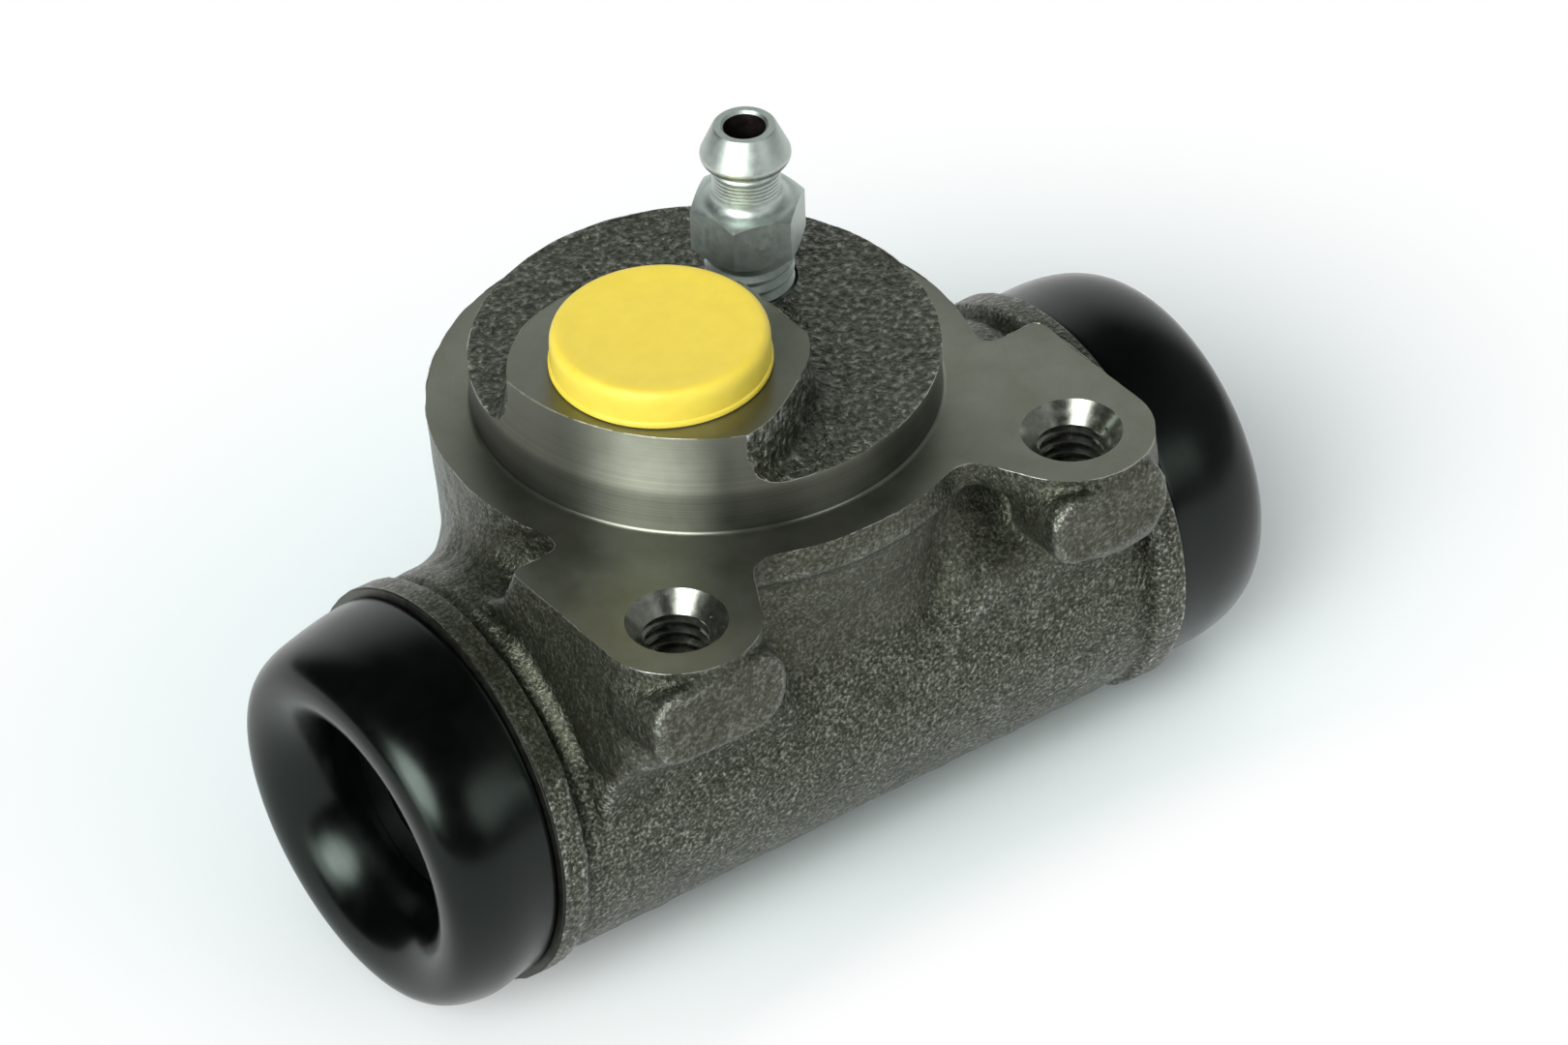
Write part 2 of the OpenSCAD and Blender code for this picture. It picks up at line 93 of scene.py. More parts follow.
# Sizes that the frame gives
BODY_LOW, BODY_HIGH = box_of("cylinder_body")
SCREW_LOW, SCREW_HIGH = box_of("bleed_screw")
PLUG_LOW, PLUG_HIGH = box_of("inlet_plug")
SPIGOT_R = MOUNTS["spigot"]["dims"]["r_mm"]
SPIGOT_H = MOUNTS["spigot"]["dims"]["length_mm"]
BOLT_X = MOUNTS["mounting_bolts"]["dims"]["spacing_x_mm"] / 2
BOLT_Y = place_of("mounting_bolts")[1]
BOLT_MINOR_R = MOUNTS["mounting_bolts"]["dims"]["hole_r_mm"]
BARREL_Y, BARREL_Z = place_of("shoe_socket_left")[1:]
INLET_X, INLET_Y, BOSS_H = place_of("brake_pipe_inlet")
BLEED_X, BLEED_Y = place_of("bleed_nipple")[:2]
PAD_R = BODY_HIGH[1]
FLANGE_R = BARREL_Z - BODY_LOW[2]
SEAT_END = BODY_HIGH[0]
LUG_FACE = BODY_LOW[1]

# Sizes of the turned ends
SEAT_LEN = 3.6
FLANGE_X = SEAT_END - SEAT_LEN
SEAT_R = 13.6
BORE_R = 11.1

# Sizes of the raw casting
VOXEL = 0.4
MARGIN = 1.5
STOCK = 0.7
BARREL_R = 15.55
FLANGE_W = 2.5
GROOVE_X = 26.62
GROOVE_R = 0.55
GROOVE_LIFT = 0.1
GROOVE_LOSS = 0.7
LEDGE_X = 25.2
LEDGE_W = 1.5
LEDGE_H = 0.55
WALL_DEPTH = 12.0
WALL_INSET = 0.1
TAPER_OUT = 10
TAPER_UP = 9.4
TAPER_LEN = 13.72
SIDE_DRAFT = 0.066
FRONT_DRAFT = 0.2
BAND_H = 2.6
BAND_SLOPE = 0.24
BAND_ENDS = (9.0, 12.5)
BAND_FOOT = (-2.7, -3.3)
BAND_LOSS = 0.8
EAR_R = 6.3
EAR_BACK = -9.1
EAR_DRAFT = 0.05
EAR_FLANK = math.radians(60)
EAR_NOSE = math.radians(30)
LUG_FOOT = -7.6
LUG_LEN = 6
LEFT_LUG = {"middle": (-19.1, -4.3), "half": (6.05, 3.35), "rounding": 2.8}
RIGHT_LUG = {"middle": (17.4, -3.9), "half": (5.4, 3.1), "rounding": 2.6}
UNDER_SLOPE = math.radians(34)
HOLLOW_MIDDLE = (13.8, -20.9, -7.2)
HOLLOW_HALF = (3.4, 5.0, 2.4)
HOLLOW_DOWN = (-0.643, -0.766)
SLEEVE_R = 3.6
SLEEVE_LOW = -7.6
SLEEVE_INSET = 1.0
BOSS_R = 11.23
BOSS_X = -7.86
BOSS_Y = -4.81
BOSS_FLAT = 3.4
BOSS_CORNER = 0.72
BOSS_DENT = 0.45
BOSS_STEP = 0.25

# Where forms start and stop, in degrees: round the barrel from its top, and round the boss from +X
LEDGE_START = (14, 17)
LEDGE_STOP = (45, 75)
GROOVE_FADE = (60, 100)
CORNER_START = (-50, -15)
CORNER_STOP = (20, 45)
DENT_AT = -58
DENT_W = 18

# Widths of the casting's fillets
DRUM_FILLET = 4.0
EAR_FILLET = 2.6
SKIRT_FILLET = 6.0
HOLLOW_FILLET = 4.0
SLEEVE_FILLET = 2.4
BOSS_FILLET = 2.0
LUG_FILLET = 0.3
SEAM_FILLET = 0.2

# Unevenness of the casting's skin: height and width of its bumps
SKIN = ((0.07, 5.5), (0.06, 2.1), (0.055, 0.9))

# Burrs along the machined edges: their thickness, and the least share of it that is drawn
BURR_R = 0.07
BURR_LEAST = 0.3

# Sizes of the tapped holes
THREAD_PITCH = 1.0
BOLT_DEPTH = 5.6
BOLT_SINK_R = 3.9
INLET_MINOR_R = 4.46
INLET_DEPTH = 11
INLET_SINK_R = 5.3


# Meshes

def make_object(name, points, faces, materials):
    """A smooth mesh object from points in millimetres, with its faces turned outwards."""
    mesh = bpy.data.meshes.new(name)
    mesh.from_pydata([tuple(point) for point in points], [], [tuple(face) for face in faces])
    mesh.update()
    for material in materials:
        mesh.materials.append(material)
    if signed_volume(mesh) < 0:
        mesh.flip_normals()
    mesh.shade_smooth()
    made = bpy.data.objects.new(name, mesh)
    bpy.context.collection.objects.link(made)
    return made


def signed_volume(mesh):
    """Volume that the mesh encloses, negative if its faces look inwards."""
    mesh.calc_loop_triangles()
    points = np.empty(len(mesh.vertices) * 3)
    mesh.vertices.foreach_get("co", points)
    corners = np.empty(len(mesh.loop_triangles) * 3, dtype=np.int32)
    mesh.loop_triangles.foreach_get("vertices", corners)
    a, b, c = points.reshape(-1, 3)[corners.reshape(-1, 3)].swapaxes(0, 1)
    return float(np.sum(a * np.cross(b, c)) / 6)


def revolve(profile, segments, looped=False):
    """Points and faces of (radius, height) pairs turned about Z; a zero radius makes a tip, looped a ring."""
    angles = np.arange(segments) * FULL_TURN / segments
    points = []
    rings = []
    for radius, height in profile:
        start = len(points)
        if radius == 0:
            points.append((0.0, 0.0, height))
            rings.append([start] * segments)
            continue
        ring = np.stack([radius * np.cos(angles), radius * np.sin(angles), 0 * angles + height], axis=1)
        points.extend(map(tuple, ring))
        rings.append(list(range(start, start + segments)))
    if looped:
        rings.append(rings[0])
    faces = []
    for low, high in zip(rings, rings[1:]):
        for here in range(segments):
            there = (here + 1) % segments
            corners = dict.fromkeys((low[here], low[there], high[there], high[here]))
            if len(corners) > 2:
                faces.append(tuple(corners))
    return np.array(points), faces


def arc(centre, radii, start, end, steps, fullness=2.0):
    """Points on an ellipse, or on a squarer curve, between two angles in degrees."""
    angles = np.radians(np.linspace(start, end, steps + 1))
    along = np.sign(np.cos(angles)) * np.abs(np.cos(angles)) ** (2 / fullness)
    across = np.sign(np.sin(angles)) * np.abs(np.sin(angles)) ** (2 / fullness)
    return [(centre[0] + radii[0] * a, centre[1] + radii[1] * b) for a, b in zip(along, across)]


def rows(radius, low, high, count):
    """A straight run of profile points at one radius."""
    return [(radius, height) for height in np.linspace(low, high, count + 1)]


def along_x(points, side):
    """Turns a shape made about Z so that it lies along the barrel, its height towards one end."""
    points = np.asarray(points)
    return np.stack([side * points[:, 2], BARREL_Y - side * points[:, 1], BARREL_Z + points[:, 0]], axis=1)


def threaded_rod(root_r, crest_r, pitch, low, high, segments=72):
    """Points and faces of a rod with a right-hand thread, each row of faces along the helix."""
    turns = int((high - low) / pitch) - 1
    shares = (0.0, 0.14, 0.46, 0.54, 0.86)
    radii = (root_r, root_r, crest_r, crest_r, root_r)
    rows_per_turn = len(shares)
    rows_made = rows_per_turn * turns + 1
    angles = np.arange(segments) * FULL_TURN / segments
    points = []
    for row in range(rows_made):
        share = row // rows_per_turn + shares[row % rows_per_turn]
        radius = radii[row % rows_per_turn]
        heights = low + pitch * (share + angles / FULL_TURN)
        points.extend(zip(radius * np.cos(angles), radius * np.sin(angles), heights))

    def corner(row, step):
        return (row + rows_per_turn * (step // segments)) * segments + step % segments

    faces = []
    for row in range(rows_made - 1):
        for step in range(segments):
            if step < segments - 1 or row + 1 + rows_per_turn < rows_made:
                faces.append((
                    corner(row, step), corner(row, step + 1), corner(row + 1, step + 1), corner(row + 1, step)
                ))
    last = rows_made - 1
    start = [corner(0, step) for step in range(segments)]
    start += [corner(row, 0) for row in range(rows_per_turn, 0, -1)]
    end = [corner(last, step) for step in range(segments)]
    end += [corner(row, segments - 1) for row in range(last - 1, last - rows_per_turn - 1, -1)]
    for loop, height in ((start, low - pitch), (end, high + pitch)):
        points.append((0.0, 0.0, height))
        tip = len(points) - 1
        for here, there in zip(loop, loop[1:] + loop[:1]):
            faces.append((there, here, tip) if loop is start else (here, there, tip))
    return np.array(points), faces


def combine(target, tools, operation):
    """Joins the target with the tools, cuts them out or keeps the common part; their materials stay."""
    for tool in tools:
        step = target.modifiers.new("step", "BOOLEAN")
        step.operation = operation
        step.object = tool
        step.solver = "MANIFOLD"
        step.material_mode = "TRANSFER"
    result = target.evaluated_get(bpy.context.evaluated_depsgraph_get())
    mesh = bpy.data.meshes.new_from_object(result)
    target.modifiers.clear()
    spare = target.data
    target.data = mesh
    bpy.data.meshes.remove(spare)
    for tool in tools:
        bpy.data.meshes.remove(tool.data)


def place(made, body, slot, *nodes):
    """Scales a finished mesh to metres and puts it in the frame in place of CAD nodes."""
    made.data.transform(Matrix.Scale(MM, 4))
    made.data.update()
    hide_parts(*nodes)
    if body:
        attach(made, body)


def crease(made, degrees):
    """Makes the edges sharp where faces meet at more than an angle."""
    made.data.shade_smooth()
    made.data.set_sharp_from_angle(angle=math.radians(degrees))


# Materials

def new_material(name):
    """An empty material and its node tree."""
    material = bpy.data.materials.new(name)
    material.use_nodes = True
    material.node_tree.nodes.clear()
    return material, material.node_tree


def node(tree, kind, inputs=None, **settings):
    """A shader node with its settings, and its inputs set to values or linked to sockets."""
    made = tree.nodes.new("ShaderNode" + kind)
    for name, value in settings.items():
        setattr(made, name, value)
    for name, value in (inputs or {}).items():
        if isinstance(value, bpy.types.NodeSocket):
            tree.links.new(value, made.inputs[name])
        else:
            made.inputs[name].default_value = value
    return made


def finish_material(tree, inputs):
    """Adds the surface shader and the output."""
    surface = node(tree, "BsdfPrincipled", inputs)
    node(tree, "OutputMaterial", {"Surface": surface.outputs["BSDF"]})


def noise(tree, size_mm, detail=2.0, roughness=0.5):
    """Smooth noise with features about as wide as a size."""
    coordinates = node(tree, "TexCoord").outputs["Object"]
    return node(
        tree, "TexNoise",
        {"Vector": coordinates, "Scale": 1 / (size_mm * MM), "Detail": detail, "Roughness": roughness},
    ).outputs["Fac"]


def shades(tree, factor, low, high, dark, light, middle=None):
    """A colour from dark to light as the factor goes from low to high, by way of a middle one if given."""
    made = node(tree, "ValToRGB", {"Fac": factor})
    made.color_ramp.elements[0].position = low
    made.color_ramp.elements[0].color = (*dark, 1)
    made.color_ramp.elements[1].position = high
    made.color_ramp.elements[1].color = (*light, 1)
    if middle:
        made.color_ramp.elements.new((low + high) / 2).color = (*middle, 1)
    return made.outputs["Color"]


def times(tree, colour, factor):
    """One colour multiplied by another."""
    return node(
        tree, "Mix", {"Factor": 1.0, "A": colour, "B": factor}, data_type="RGBA", blend_type="MULTIPLY"
    ).outputs["Result"]


def bump(tree, height, strength, distance_mm, normal=None):
    """A normal bent by a height."""
    inputs = {"Height": height, "Strength": strength, "Distance": distance_mm * MM}
    if normal is not None:
        inputs["Normal"] = normal
    return node(tree, "Bump", inputs).outputs["Normal"]


def maths(tree, operation, first, second):
    """Two numbers put together."""
    return node(tree, "Math", {0: first, 1: second}, operation=operation).outputs["Value"]


def fade(tree, value, start, end, strength=1.0):
    """A number that goes smoothly from 0 at start to a strength at end."""
    return node(
        tree, "MapRange",
        {"Value": value, "From Min": start, "From Max": end, "To Max": strength},
        interpolation_type="SMOOTHSTEP",
    ).outputs["Result"]


def between(tree, value, start, end):
    """A number that goes evenly from 0 at start to 1 at end."""
    return node(tree, "MapRange", {"Value": value, "From Min": start, "From Max": end}).outputs["Result"]


def level(tree, factor, low, high):
    """A number from low to high as the factor goes from 0.3 to 0.7."""
    return node(
        tree, "MapRange",
        {"Value": factor, "From Min": 0.3, "From Max": 0.7, "To Min": low, "To Max": high},
    ).outputs["Result"]


def cast_iron():
    """Sand cast iron, dark and a little brown, roughest on the barrel and on the top of the spigot."""
    material, tree = new_material("cast_iron")
    height = node(tree, "SeparateXYZ", {"Vector": node(tree, "TexCoord").outputs["Object"]}).outputs["Z"]
    barrel = between(tree, height, -11.5 * MM, -13.5 * MM)
    top = between(tree, height, 2 * MM, 3.5 * MM)
    coarse = maths(tree, "MAXIMUM", barrel, top)
    grit = node(tree, "Mix", {
        "Factor": top, "A": noise(tree, 0.3, 4.0, 0.65), "B": noise(tree, 0.55, 4.0, 0.6),
    }).outputs["Result"]
    blotch = noise(tree, 3.0, 3.0, 0.6)
    edges = node(tree, "NewGeometry").outputs["Pointiness"]
    dull = shades(tree, blotch, 0.3, 0.7, (0.098, 0.104, 0.071), (0.139, 0.147, 0.105))
    # Painted highlight and painted shade: pointiness makes convex edges up to nearly three times brighter, as
    # light glints there, and concave creases about a third as bright, as shade falls there
    edge_highlight_and_crease_shade = shades(tree, edges, 0.43, 0.57, (0.3, 0.3, 0.3), (2.5, 2.45, 2.9), (1.0, 1.0, 1.0))
    # Grain and pits of the casting, with painted glints: the lightest specks are lifted to several times the
    # base colour to stand in for sparkles of light off the grains
    pits_and_glints = shades(tree, grit, 0.38, 0.68, (0.22, 0.22, 0.22), (3.3, 3.2, 4.1), (0.85, 0.85, 0.85))
    fine = shades(tree, grit, 0.38, 0.68, (0.34, 0.34, 0.34), (1.52, 1.48, 1.8), (0.66, 0.66, 0.66))
    spotted = node(tree, "MapRange", {"Value": top, "To Min": barrel, "To Max": 0.4}).outputs["Result"]
    grain_and_glints = node(tree, "Mix", {"Factor": spotted, "A": fine, "B": pits_and_glints}, data_type="RGBA").outputs["Result"]
    colour = times(tree, times(tree, dull, grain_and_glints), edge_highlight_and_crease_shade)
    depth = node(tree, "MapRange", {"Value": coarse, "To Min": 0.35, "To Max": 1.0}).outputs["Result"]
    lumpy = bump(tree, noise(tree, 1.0, 2.0, 0.5), depth, 0.6)
    finish_material(tree, {
        "Base Color": colour,
        "Metallic": 0.85,
        "Roughness": level(tree, grit, 0.38, 0.28),
        "Normal": bump(tree, grit, depth, 0.45, lumpy),
    })
    return material


def turned_marks(tree):
    """Fine rings about the spigot axis, as a lathe tool leaves them."""
    parts = node(tree, "SeparateXYZ", {"Vector": node(tree, "TexCoord").outputs["Object"]})
    flat = node(tree, "CombineXYZ", {"X": parts.outputs["X"], "Y": parts.outputs["Y"]}).outputs["Vector"]
    radius = node(tree, "VectorMath", {0: flat}, operation="LENGTH").outputs["Value"]
    ring = node(tree, "CombineXYZ", {"X": radius, "Z": parts.outputs["Z"]}).outputs["Vector"]
    return node(
        tree, "TexNoise", {"Vector": ring, "Scale": 1 / (0.16 * MM), "Detail": 2.0, "Roughness": 0.6}
    ).outputs["Fac"]


def machined_iron(name, roughness, drawn, ringing, foot=None):
    """Turned iron, its shine drawn out across the tool's rings; foot dims it below the spigot's top."""
    material, tree = new_material(name)
    marks = turned_marks(tree)
    stain = noise(tree, 4.0, 4.0, 0.6)
    position = node(tree, "NewGeometry").outputs["Position"]
    upward = (0, 0, 1)
    around = node(tree, "VectorMath", {0: upward, 1: position}, operation="CROSS_PRODUCT").outputs["Vector"]
    colour = shades(tree, stain, 0.3, 0.7, (0.19, 0.198, 0.155), (0.25, 0.258, 0.215))
    colour = times(tree, colour, shades(tree, marks, 0.35, 0.65, [1 - ringing] * 3, [1 + ringing] * 3))
    if foot is not None:
        height = node(tree, "SeparateXYZ", {"Vector": position}).outputs["Z"]
        low = (SPIGOT_H - 0.6) * MM
        high = (SPIGOT_H + 0.2) * MM
        step = node(tree, "MapRange", {"Value": height, "From Min": low, "From Max": high, "To Min": foot})
        colour = times(tree, colour, step.outputs["Result"])
    finish_material(tree, {
        "Base Color": colour,
        "Metallic": 0.95,
        "Roughness": level(tree, stain, roughness, roughness + 0.08),
        "Anisotropic": drawn,
        "Anisotropic Rotation": 0.25,
        "Tangent": around,
        "Normal": bump(tree, marks, 0.25, 0.014),
    })
    return material


def tapped_iron():
    """Freshly drilled and tapped iron, brighter than the turned faces."""
    material, tree = new_material("tapped_iron")
    marks = noise(tree, 0.7, 2.0, 0.6)
    finish_material(tree, {
        "Base Color": shades(tree, marks, 0.3, 0.7, (0.34, 0.35, 0.3), (0.46, 0.47, 0.42)),
        "Metallic": 1.0,
        "Roughness": level(tree, marks, 0.2, 0.28),
    })
    return material


def black_rubber(name, gloss_low, gloss_high):
    """Moulded black rubber."""
    material, tree = new_material(name)
    mottle = noise(tree, 2.5, 3.0, 0.6)
    skin = noise(tree, 0.8, 2.0, 0.5)
    finish_material(tree, {
        "Base Color": shades(tree, mottle, 0.3, 0.7, (0.0005, 0.0006, 0.00055), (0.0012, 0.0014, 0.0013)),
        "Roughness": level(tree, mottle, gloss_low, gloss_high),
        "IOR": 1.4,
        "Specular Tint": (0.84, 1.0, 0.91, 1),
        "Normal": bump(tree, skin, 0.08, 0.02),
    })
    return material


def plain_metal(name, dark, light, roughness, grain_mm):
    """A metal with a faint grain."""
    material, tree = new_material(name)
    grain = noise(tree, grain_mm, 2.0, 0.6)
    finish_material(tree, {
        "Base Color": shades(tree, grain, 0.3, 0.7, dark, light),
        "Metallic": 1.0,
        "Roughness": level(tree, grain, roughness - 0.04, roughness + 0.04),
        "Normal": bump(tree, grain, 0.15, 0.02),
    })
    return material


def yellow_plastic():
    """Satin moulded plastic that lets a little light through."""
    material, tree = new_material("yellow_plastic")
    mottle = noise(tree, 1.6, 2.0, 0.5)
    finish_material(tree, {
        "Base Color": shades(tree, mottle, 0.3, 0.7, (0.77, 0.59, 0.062), (0.81, 0.63, 0.078)),
        "Roughness": level(tree, mottle, 0.42, 0.52),
        "Subsurface Weight": 0.35,
        "Subsurface Radius": (0.0025, 0.0018, 0.0004),
        "Normal": bump(tree, mottle, 0.1, 0.03),
    })
    return material


# The body

def smooth_min(a, b, width):
    """The union of two fields, with a fillet about as wide as width."""
    share = np.maximum(width - np.abs(a - b), 0) / width
    return np.minimum(a, b) - share * share * width / 4


def smooth_max(a, b, width):
    """The common part of two fields, with its corner rounded."""
    return -smooth_min(-a, -b, width)


def ramp(value, start, end):
    """Goes smoothly from 0 at start to 1 at end."""
    share = np.clip((value - start) / (end - start), 0, 1)
    return share * share * (3 - 2 * share)


def lumps(random, axes, size):
    """Smooth random heights from -1 to 1 on a grid, with bumps about as wide as size."""
    heights = random.uniform(-1, 1, [int((axis[-1] - axis[0]) / size) + 3 for axis in axes])
    for direction, axis in enumerate(axes):
        spot = (axis - axis[0]) / size
        cell = spot.astype(int)
        share = ramp(spot - cell, 0, 1)
        shape = [1, 1, 1]
        shape[direction] = -1
        low = np.take(heights, cell, axis=direction)
        high = np.take(heights, cell + 1, axis=direction)
        heights = low + (high - low) * share.reshape(shape)
    return heights


def barrel_field(x, y, z):
    """The barrel with its flange rings and the raw stubs of the boot seats."""
    across = np.hypot(y - BARREL_Y, z - BARREL_Z)
    barrel = np.maximum(across - BARREL_R, x - FLANGE_X)
    ring = np.maximum(FLANGE_X - FLANGE_W - x, x - FLANGE_X - STOCK)
    flange = smooth_max(across - FLANGE_R, ring, 0.5)
    stub = np.maximum(across - SEAT_R - STOCK, x - SEAT_END - STOCK)
    return np.minimum(smooth_min(barrel, flange, 0.5), stub)


def drum_field(x, y, z):
    """The round pad over the barrel, with a band and more draft at its front and a tapered underside."""
    radial = np.hypot(x, y)
    front = np.clip(-y / np.maximum(radial, 1), 0, 1)
    draft = SIDE_DRAFT + (FRONT_DRAFT - SIDE_DRAFT) * front ** 2
    band = BAND_SLOPE * np.clip(-z, 0, BAND_H) * (1 - BAND_LOSS * ramp(z, *BAND_FOOT))
    band = band * (1 - ramp(np.abs(x), *BAND_ENDS)) * (y < 0)
    wall = radial - PAD_R + WALL_INSET - draft * z - band
    under = ((radial - PAD_R) * TAPER_OUT - (z + WALL_DEPTH) * TAPER_UP) / TAPER_LEN
    return np.maximum(smooth_max(wall, under, 2.5), z - STOCK)


def under_lugs(y, z):
    """The sloping underside of the ears and lugs."""
    return (LUG_FACE - y) * math.sin(UNDER_SLOPE) + (LUG_FOOT - z) * math.cos(UNDER_SLOPE)


def ear_field(x, y, z):
    """Both ears; x is the distance to the middle plane."""
    along = x - BOLT_X
    back = y - BOLT_Y
    angle = np.arctan2(back, along)
    straight = np.maximum(along, -along * math.sin(EAR_FLANK) - back * math.cos(EAR_FLANK))
    nose = (angle < 0) & (angle > EAR_FLANK - math.pi - EAR_NOSE)
    plan = np.where(nose, np.hypot(along, back), straight) - EAR_R
    plan = smooth_max(plan, y - EAR_BACK, 1.0)
    flare = EAR_DRAFT * np.clip(-z, 0, 8)
    return np.maximum(smooth_max(plan - flare, under_lugs(y, z), 1.5), z - STOCK)


def lug_field(x, y, z, middle, half, rounding):
    """A flat lug under an ear; its middle and half size are given along X and Z."""
    across = np.abs(x - middle[0]) - half[0] + rounding
    height = np.abs(z - middle[1]) - half[1] + rounding
    outline = np.hypot(np.maximum(across, 0), np.maximum(height, 0)) - rounding
    outline = outline + np.minimum(np.maximum(across, height), 0)
    lug = smooth_max(outline, LUG_FACE - y, 0.6)
    return np.maximum(np.maximum(lug, y - LUG_FACE - LUG_LEN), under_lugs(y, z) - 0.25)


def hollow_field(apart, y, z):
    """The soft hollow beside each lug: an ellipsoid that lies on the slope of the barrel."""
    back = y - HOLLOW_MIDDLE[1]
    up = z - HOLLOW_MIDDLE[2]
    across = apart - HOLLOW_MIDDLE[0]
    down = HOLLOW_DOWN[0] * back + HOLLOW_DOWN[1] * up
    out = HOLLOW_DOWN[1] * back - HOLLOW_DOWN[0] * up
    shares = [(across / HOLLOW_HALF[0]) ** 2, (down / HOLLOW_HALF[1]) ** 2, (out / HOLLOW_HALF[2]) ** 2]
    return HOLLOW_HALF[2] * (np.sqrt(shares[0] + shares[1] + shares[2]) - 1)


def sleeve_field(apart, y, z, ears):
    """The wall round each bolt hole that the hollow leaves standing inside the ear."""
    sleeve = np.maximum(np.hypot(apart - BOLT_X, y - BOLT_Y) - SLEEVE_R, ears + SLEEVE_INSET)
    return smooth_max(sleeve, SLEEVE_LOW - z, 1.5)


def ledge_field(apart, across, turn):
    """The low ledge round the upper front of the barrel, sloping towards each flange ring."""
    rise = across - BARREL_R - LEDGE_H * ramp(turn, *LEDGE_START) * (1 - ramp(turn, *LEDGE_STOP))
    slope = (rise + apart - LEDGE_X) * math.sqrt(0.5)
    return np.maximum(np.maximum(rise, slope), LEDGE_X - LEDGE_W - apart)


def groove_field(apart, across, turn):
    """The groove beside each flange ring, shallower below."""
    radius = GROOVE_R * (1 - GROOVE_LOSS * ramp(turn, *GROOVE_FADE))
    return np.hypot(apart - GROOVE_X, across - BARREL_R - GROOVE_LIFT) - radius


def boss_outline(angles):
    """Radius of the boss about its middle: a circle with a flat at its right and a slanted front corner."""
    turn = np.degrees(angles)
    corner = BOSS_CORNER * ramp(turn, *CORNER_START) * (1 - ramp(turn, *CORNER_STOP))
    radius = BOSS_R + corner - BOSS_DENT * np.exp(-((turn - DENT_AT) / DENT_W) ** 2)
    return np.minimum(radius, (BOSS_FLAT - BOSS_X) / np.maximum(np.cos(angles), 0.01))


def top_field(x, y, z):
    """The raw spigot with the boss on it; x is signed here."""
    spigot = np.maximum(np.hypot(x, y) - SPIGOT_R - STOCK, np.maximum(z - SPIGOT_H, -2 - z))
    angles = np.arctan2(y - BOSS_Y, x - BOSS_X)
    boss = np.hypot(x - BOSS_X, y - BOSS_Y) - boss_outline(angles) - 0.15
    boss = np.maximum(boss, np.maximum(z - BOSS_H - STOCK, -2 - z))
    return smooth_min(spigot, boss, BOSS_FILLET)


def casting_field(axes):
    """Distance to the skin of the raw casting, negative inside."""
    x, y, z = np.ix_(*axes)
    apart = np.abs(x)
    across = np.hypot(y - BARREL_Y, z - BARREL_Z)
    turn = np.degrees(np.arctan2(BARREL_Y - y, z - BARREL_Z))
    barrel = barrel_field(apart, y, z)
    drum = drum_field(x, y, z)
    ears = ear_field(apart, y, z)
    drum_on_barrel = smooth_min(barrel, drum, DRUM_FILLET)
    body = smooth_min(drum_on_barrel, smooth_min(drum, ears, EAR_FILLET), SEAM_FILLET)
    skirt = smooth_max(smooth_min(barrel, ears, SKIRT_FILLET), apart - LEDGE_X, 0.6)
    body = smooth_min(body, skirt, SEAM_FILLET)
    body = smooth_max(body, -hollow_field(apart, y, z), HOLLOW_FILLET)
    body = smooth_min(body, sleeve_field(apart, y, z, ears), SLEEVE_FILLET)
    for lug in (LEFT_LUG, RIGHT_LUG):
        body = smooth_min(body, lug_field(x, y, z, **lug), LUG_FILLET)
    body = smooth_min(body, ledge_field(apart, across, turn), LUG_FILLET)
    body = smooth_max(body, -groove_field(apart, across, turn), 0.25)
    body = np.minimum(body, top_field(x, y, z))
    random = np.random.default_rng(7)
    skin = sum(height * lumps(random, axes, width) for height, width in SKIN)
    limits = np.maximum(np.maximum(LUG_FACE - y, y - PAD_R), BODY_LOW[2] - z)
    return smooth_max(body + skin, limits, 0.3)


def raw_casting(material):
    """The casting as it comes out of the sand."""
    corner = np.array([-SEAT_END, LUG_FACE, BODY_LOW[2]]) - MARGIN
    far = np.array([SEAT_END, PAD_R, BOSS_H + STOCK]) + MARGIN
    axes = [np.arange(low, high, VOXEL) for low, high in zip(corner, far)]
    outside = 10.0
    grid = openvdb.FloatGrid(outside)
    grid.copyFromArray(casting_field(axes).astype(np.float32))
    points, quads = grid.convertToQuads(0.0)
    return make_object("cylinder_casting", points * VOXEL + corner, quads.tolist(), [material])


def pad_cutter(flat, wall):
    """Turns the pad and the side of the spigot."""
    fillet = 0.35
    far = 42
    above = 14
    boss_wall = SPIGOT_R - BOSS_STEP
    profile = [(far, 0), (far, above), (boss_wall, above), (boss_wall, SPIGOT_H + 1.2), (SPIGOT_R, SPIGOT_H)]
    profile += arc((SPIGOT_R + fillet, fillet), (fillet, fillet), 180, 270, 4)
    cutter = make_object("pad_cutter", *revolve(profile, 240, looped=True), [flat, wall])
    for face in cutter.data.polygons:
        face.material_index = int(abs(face.normal.z) < 0.5)
    return cutter


def boss_cutter(material):
    """Faces the boss."""
    far = 16
    above = BOSS_H + 4
    points, faces = revolve([(0, BOSS_H), (far, BOSS_H), (far, above), (0, above)], 48)
    return make_object("boss_cutter", points + (INLET_X, INLET_Y, 0), faces, [material])


def boss_side_cutter(material):
    """Gives the boss its outline, flared at its foot."""
    foot = SPIGOT_H + 0.7
    above = BOSS_H + 4
    angles = np.radians(np.linspace(-180, 180, 180, endpoint=False))
    directions = np.stack([np.cos(angles), np.sin(angles)], axis=1)
    inner = directions * boss_outline(angles)[:, None] + (BOSS_X, BOSS_Y)
    outer = directions * 30 + (BOSS_X, BOSS_Y)
    flared = inner + directions * 0.9
    loops = [(flared, foot), (inner, SPIGOT_H + 2.6), (inner, above), (outer, above), (outer, foot)]
    points = [(*spot, height) for loop, height in loops for spot in loop]
    count = len(angles)
    faces = []
    for row in range(len(loops)):
        for here in range(count):
            there = (here + 1) % count
            low = row * count
            high = (row + 1) % len(loops) * count
            faces.append((low + here, low + there, high + there, high + here))
    return make_object("boss_side_cutter", points, faces, [material])


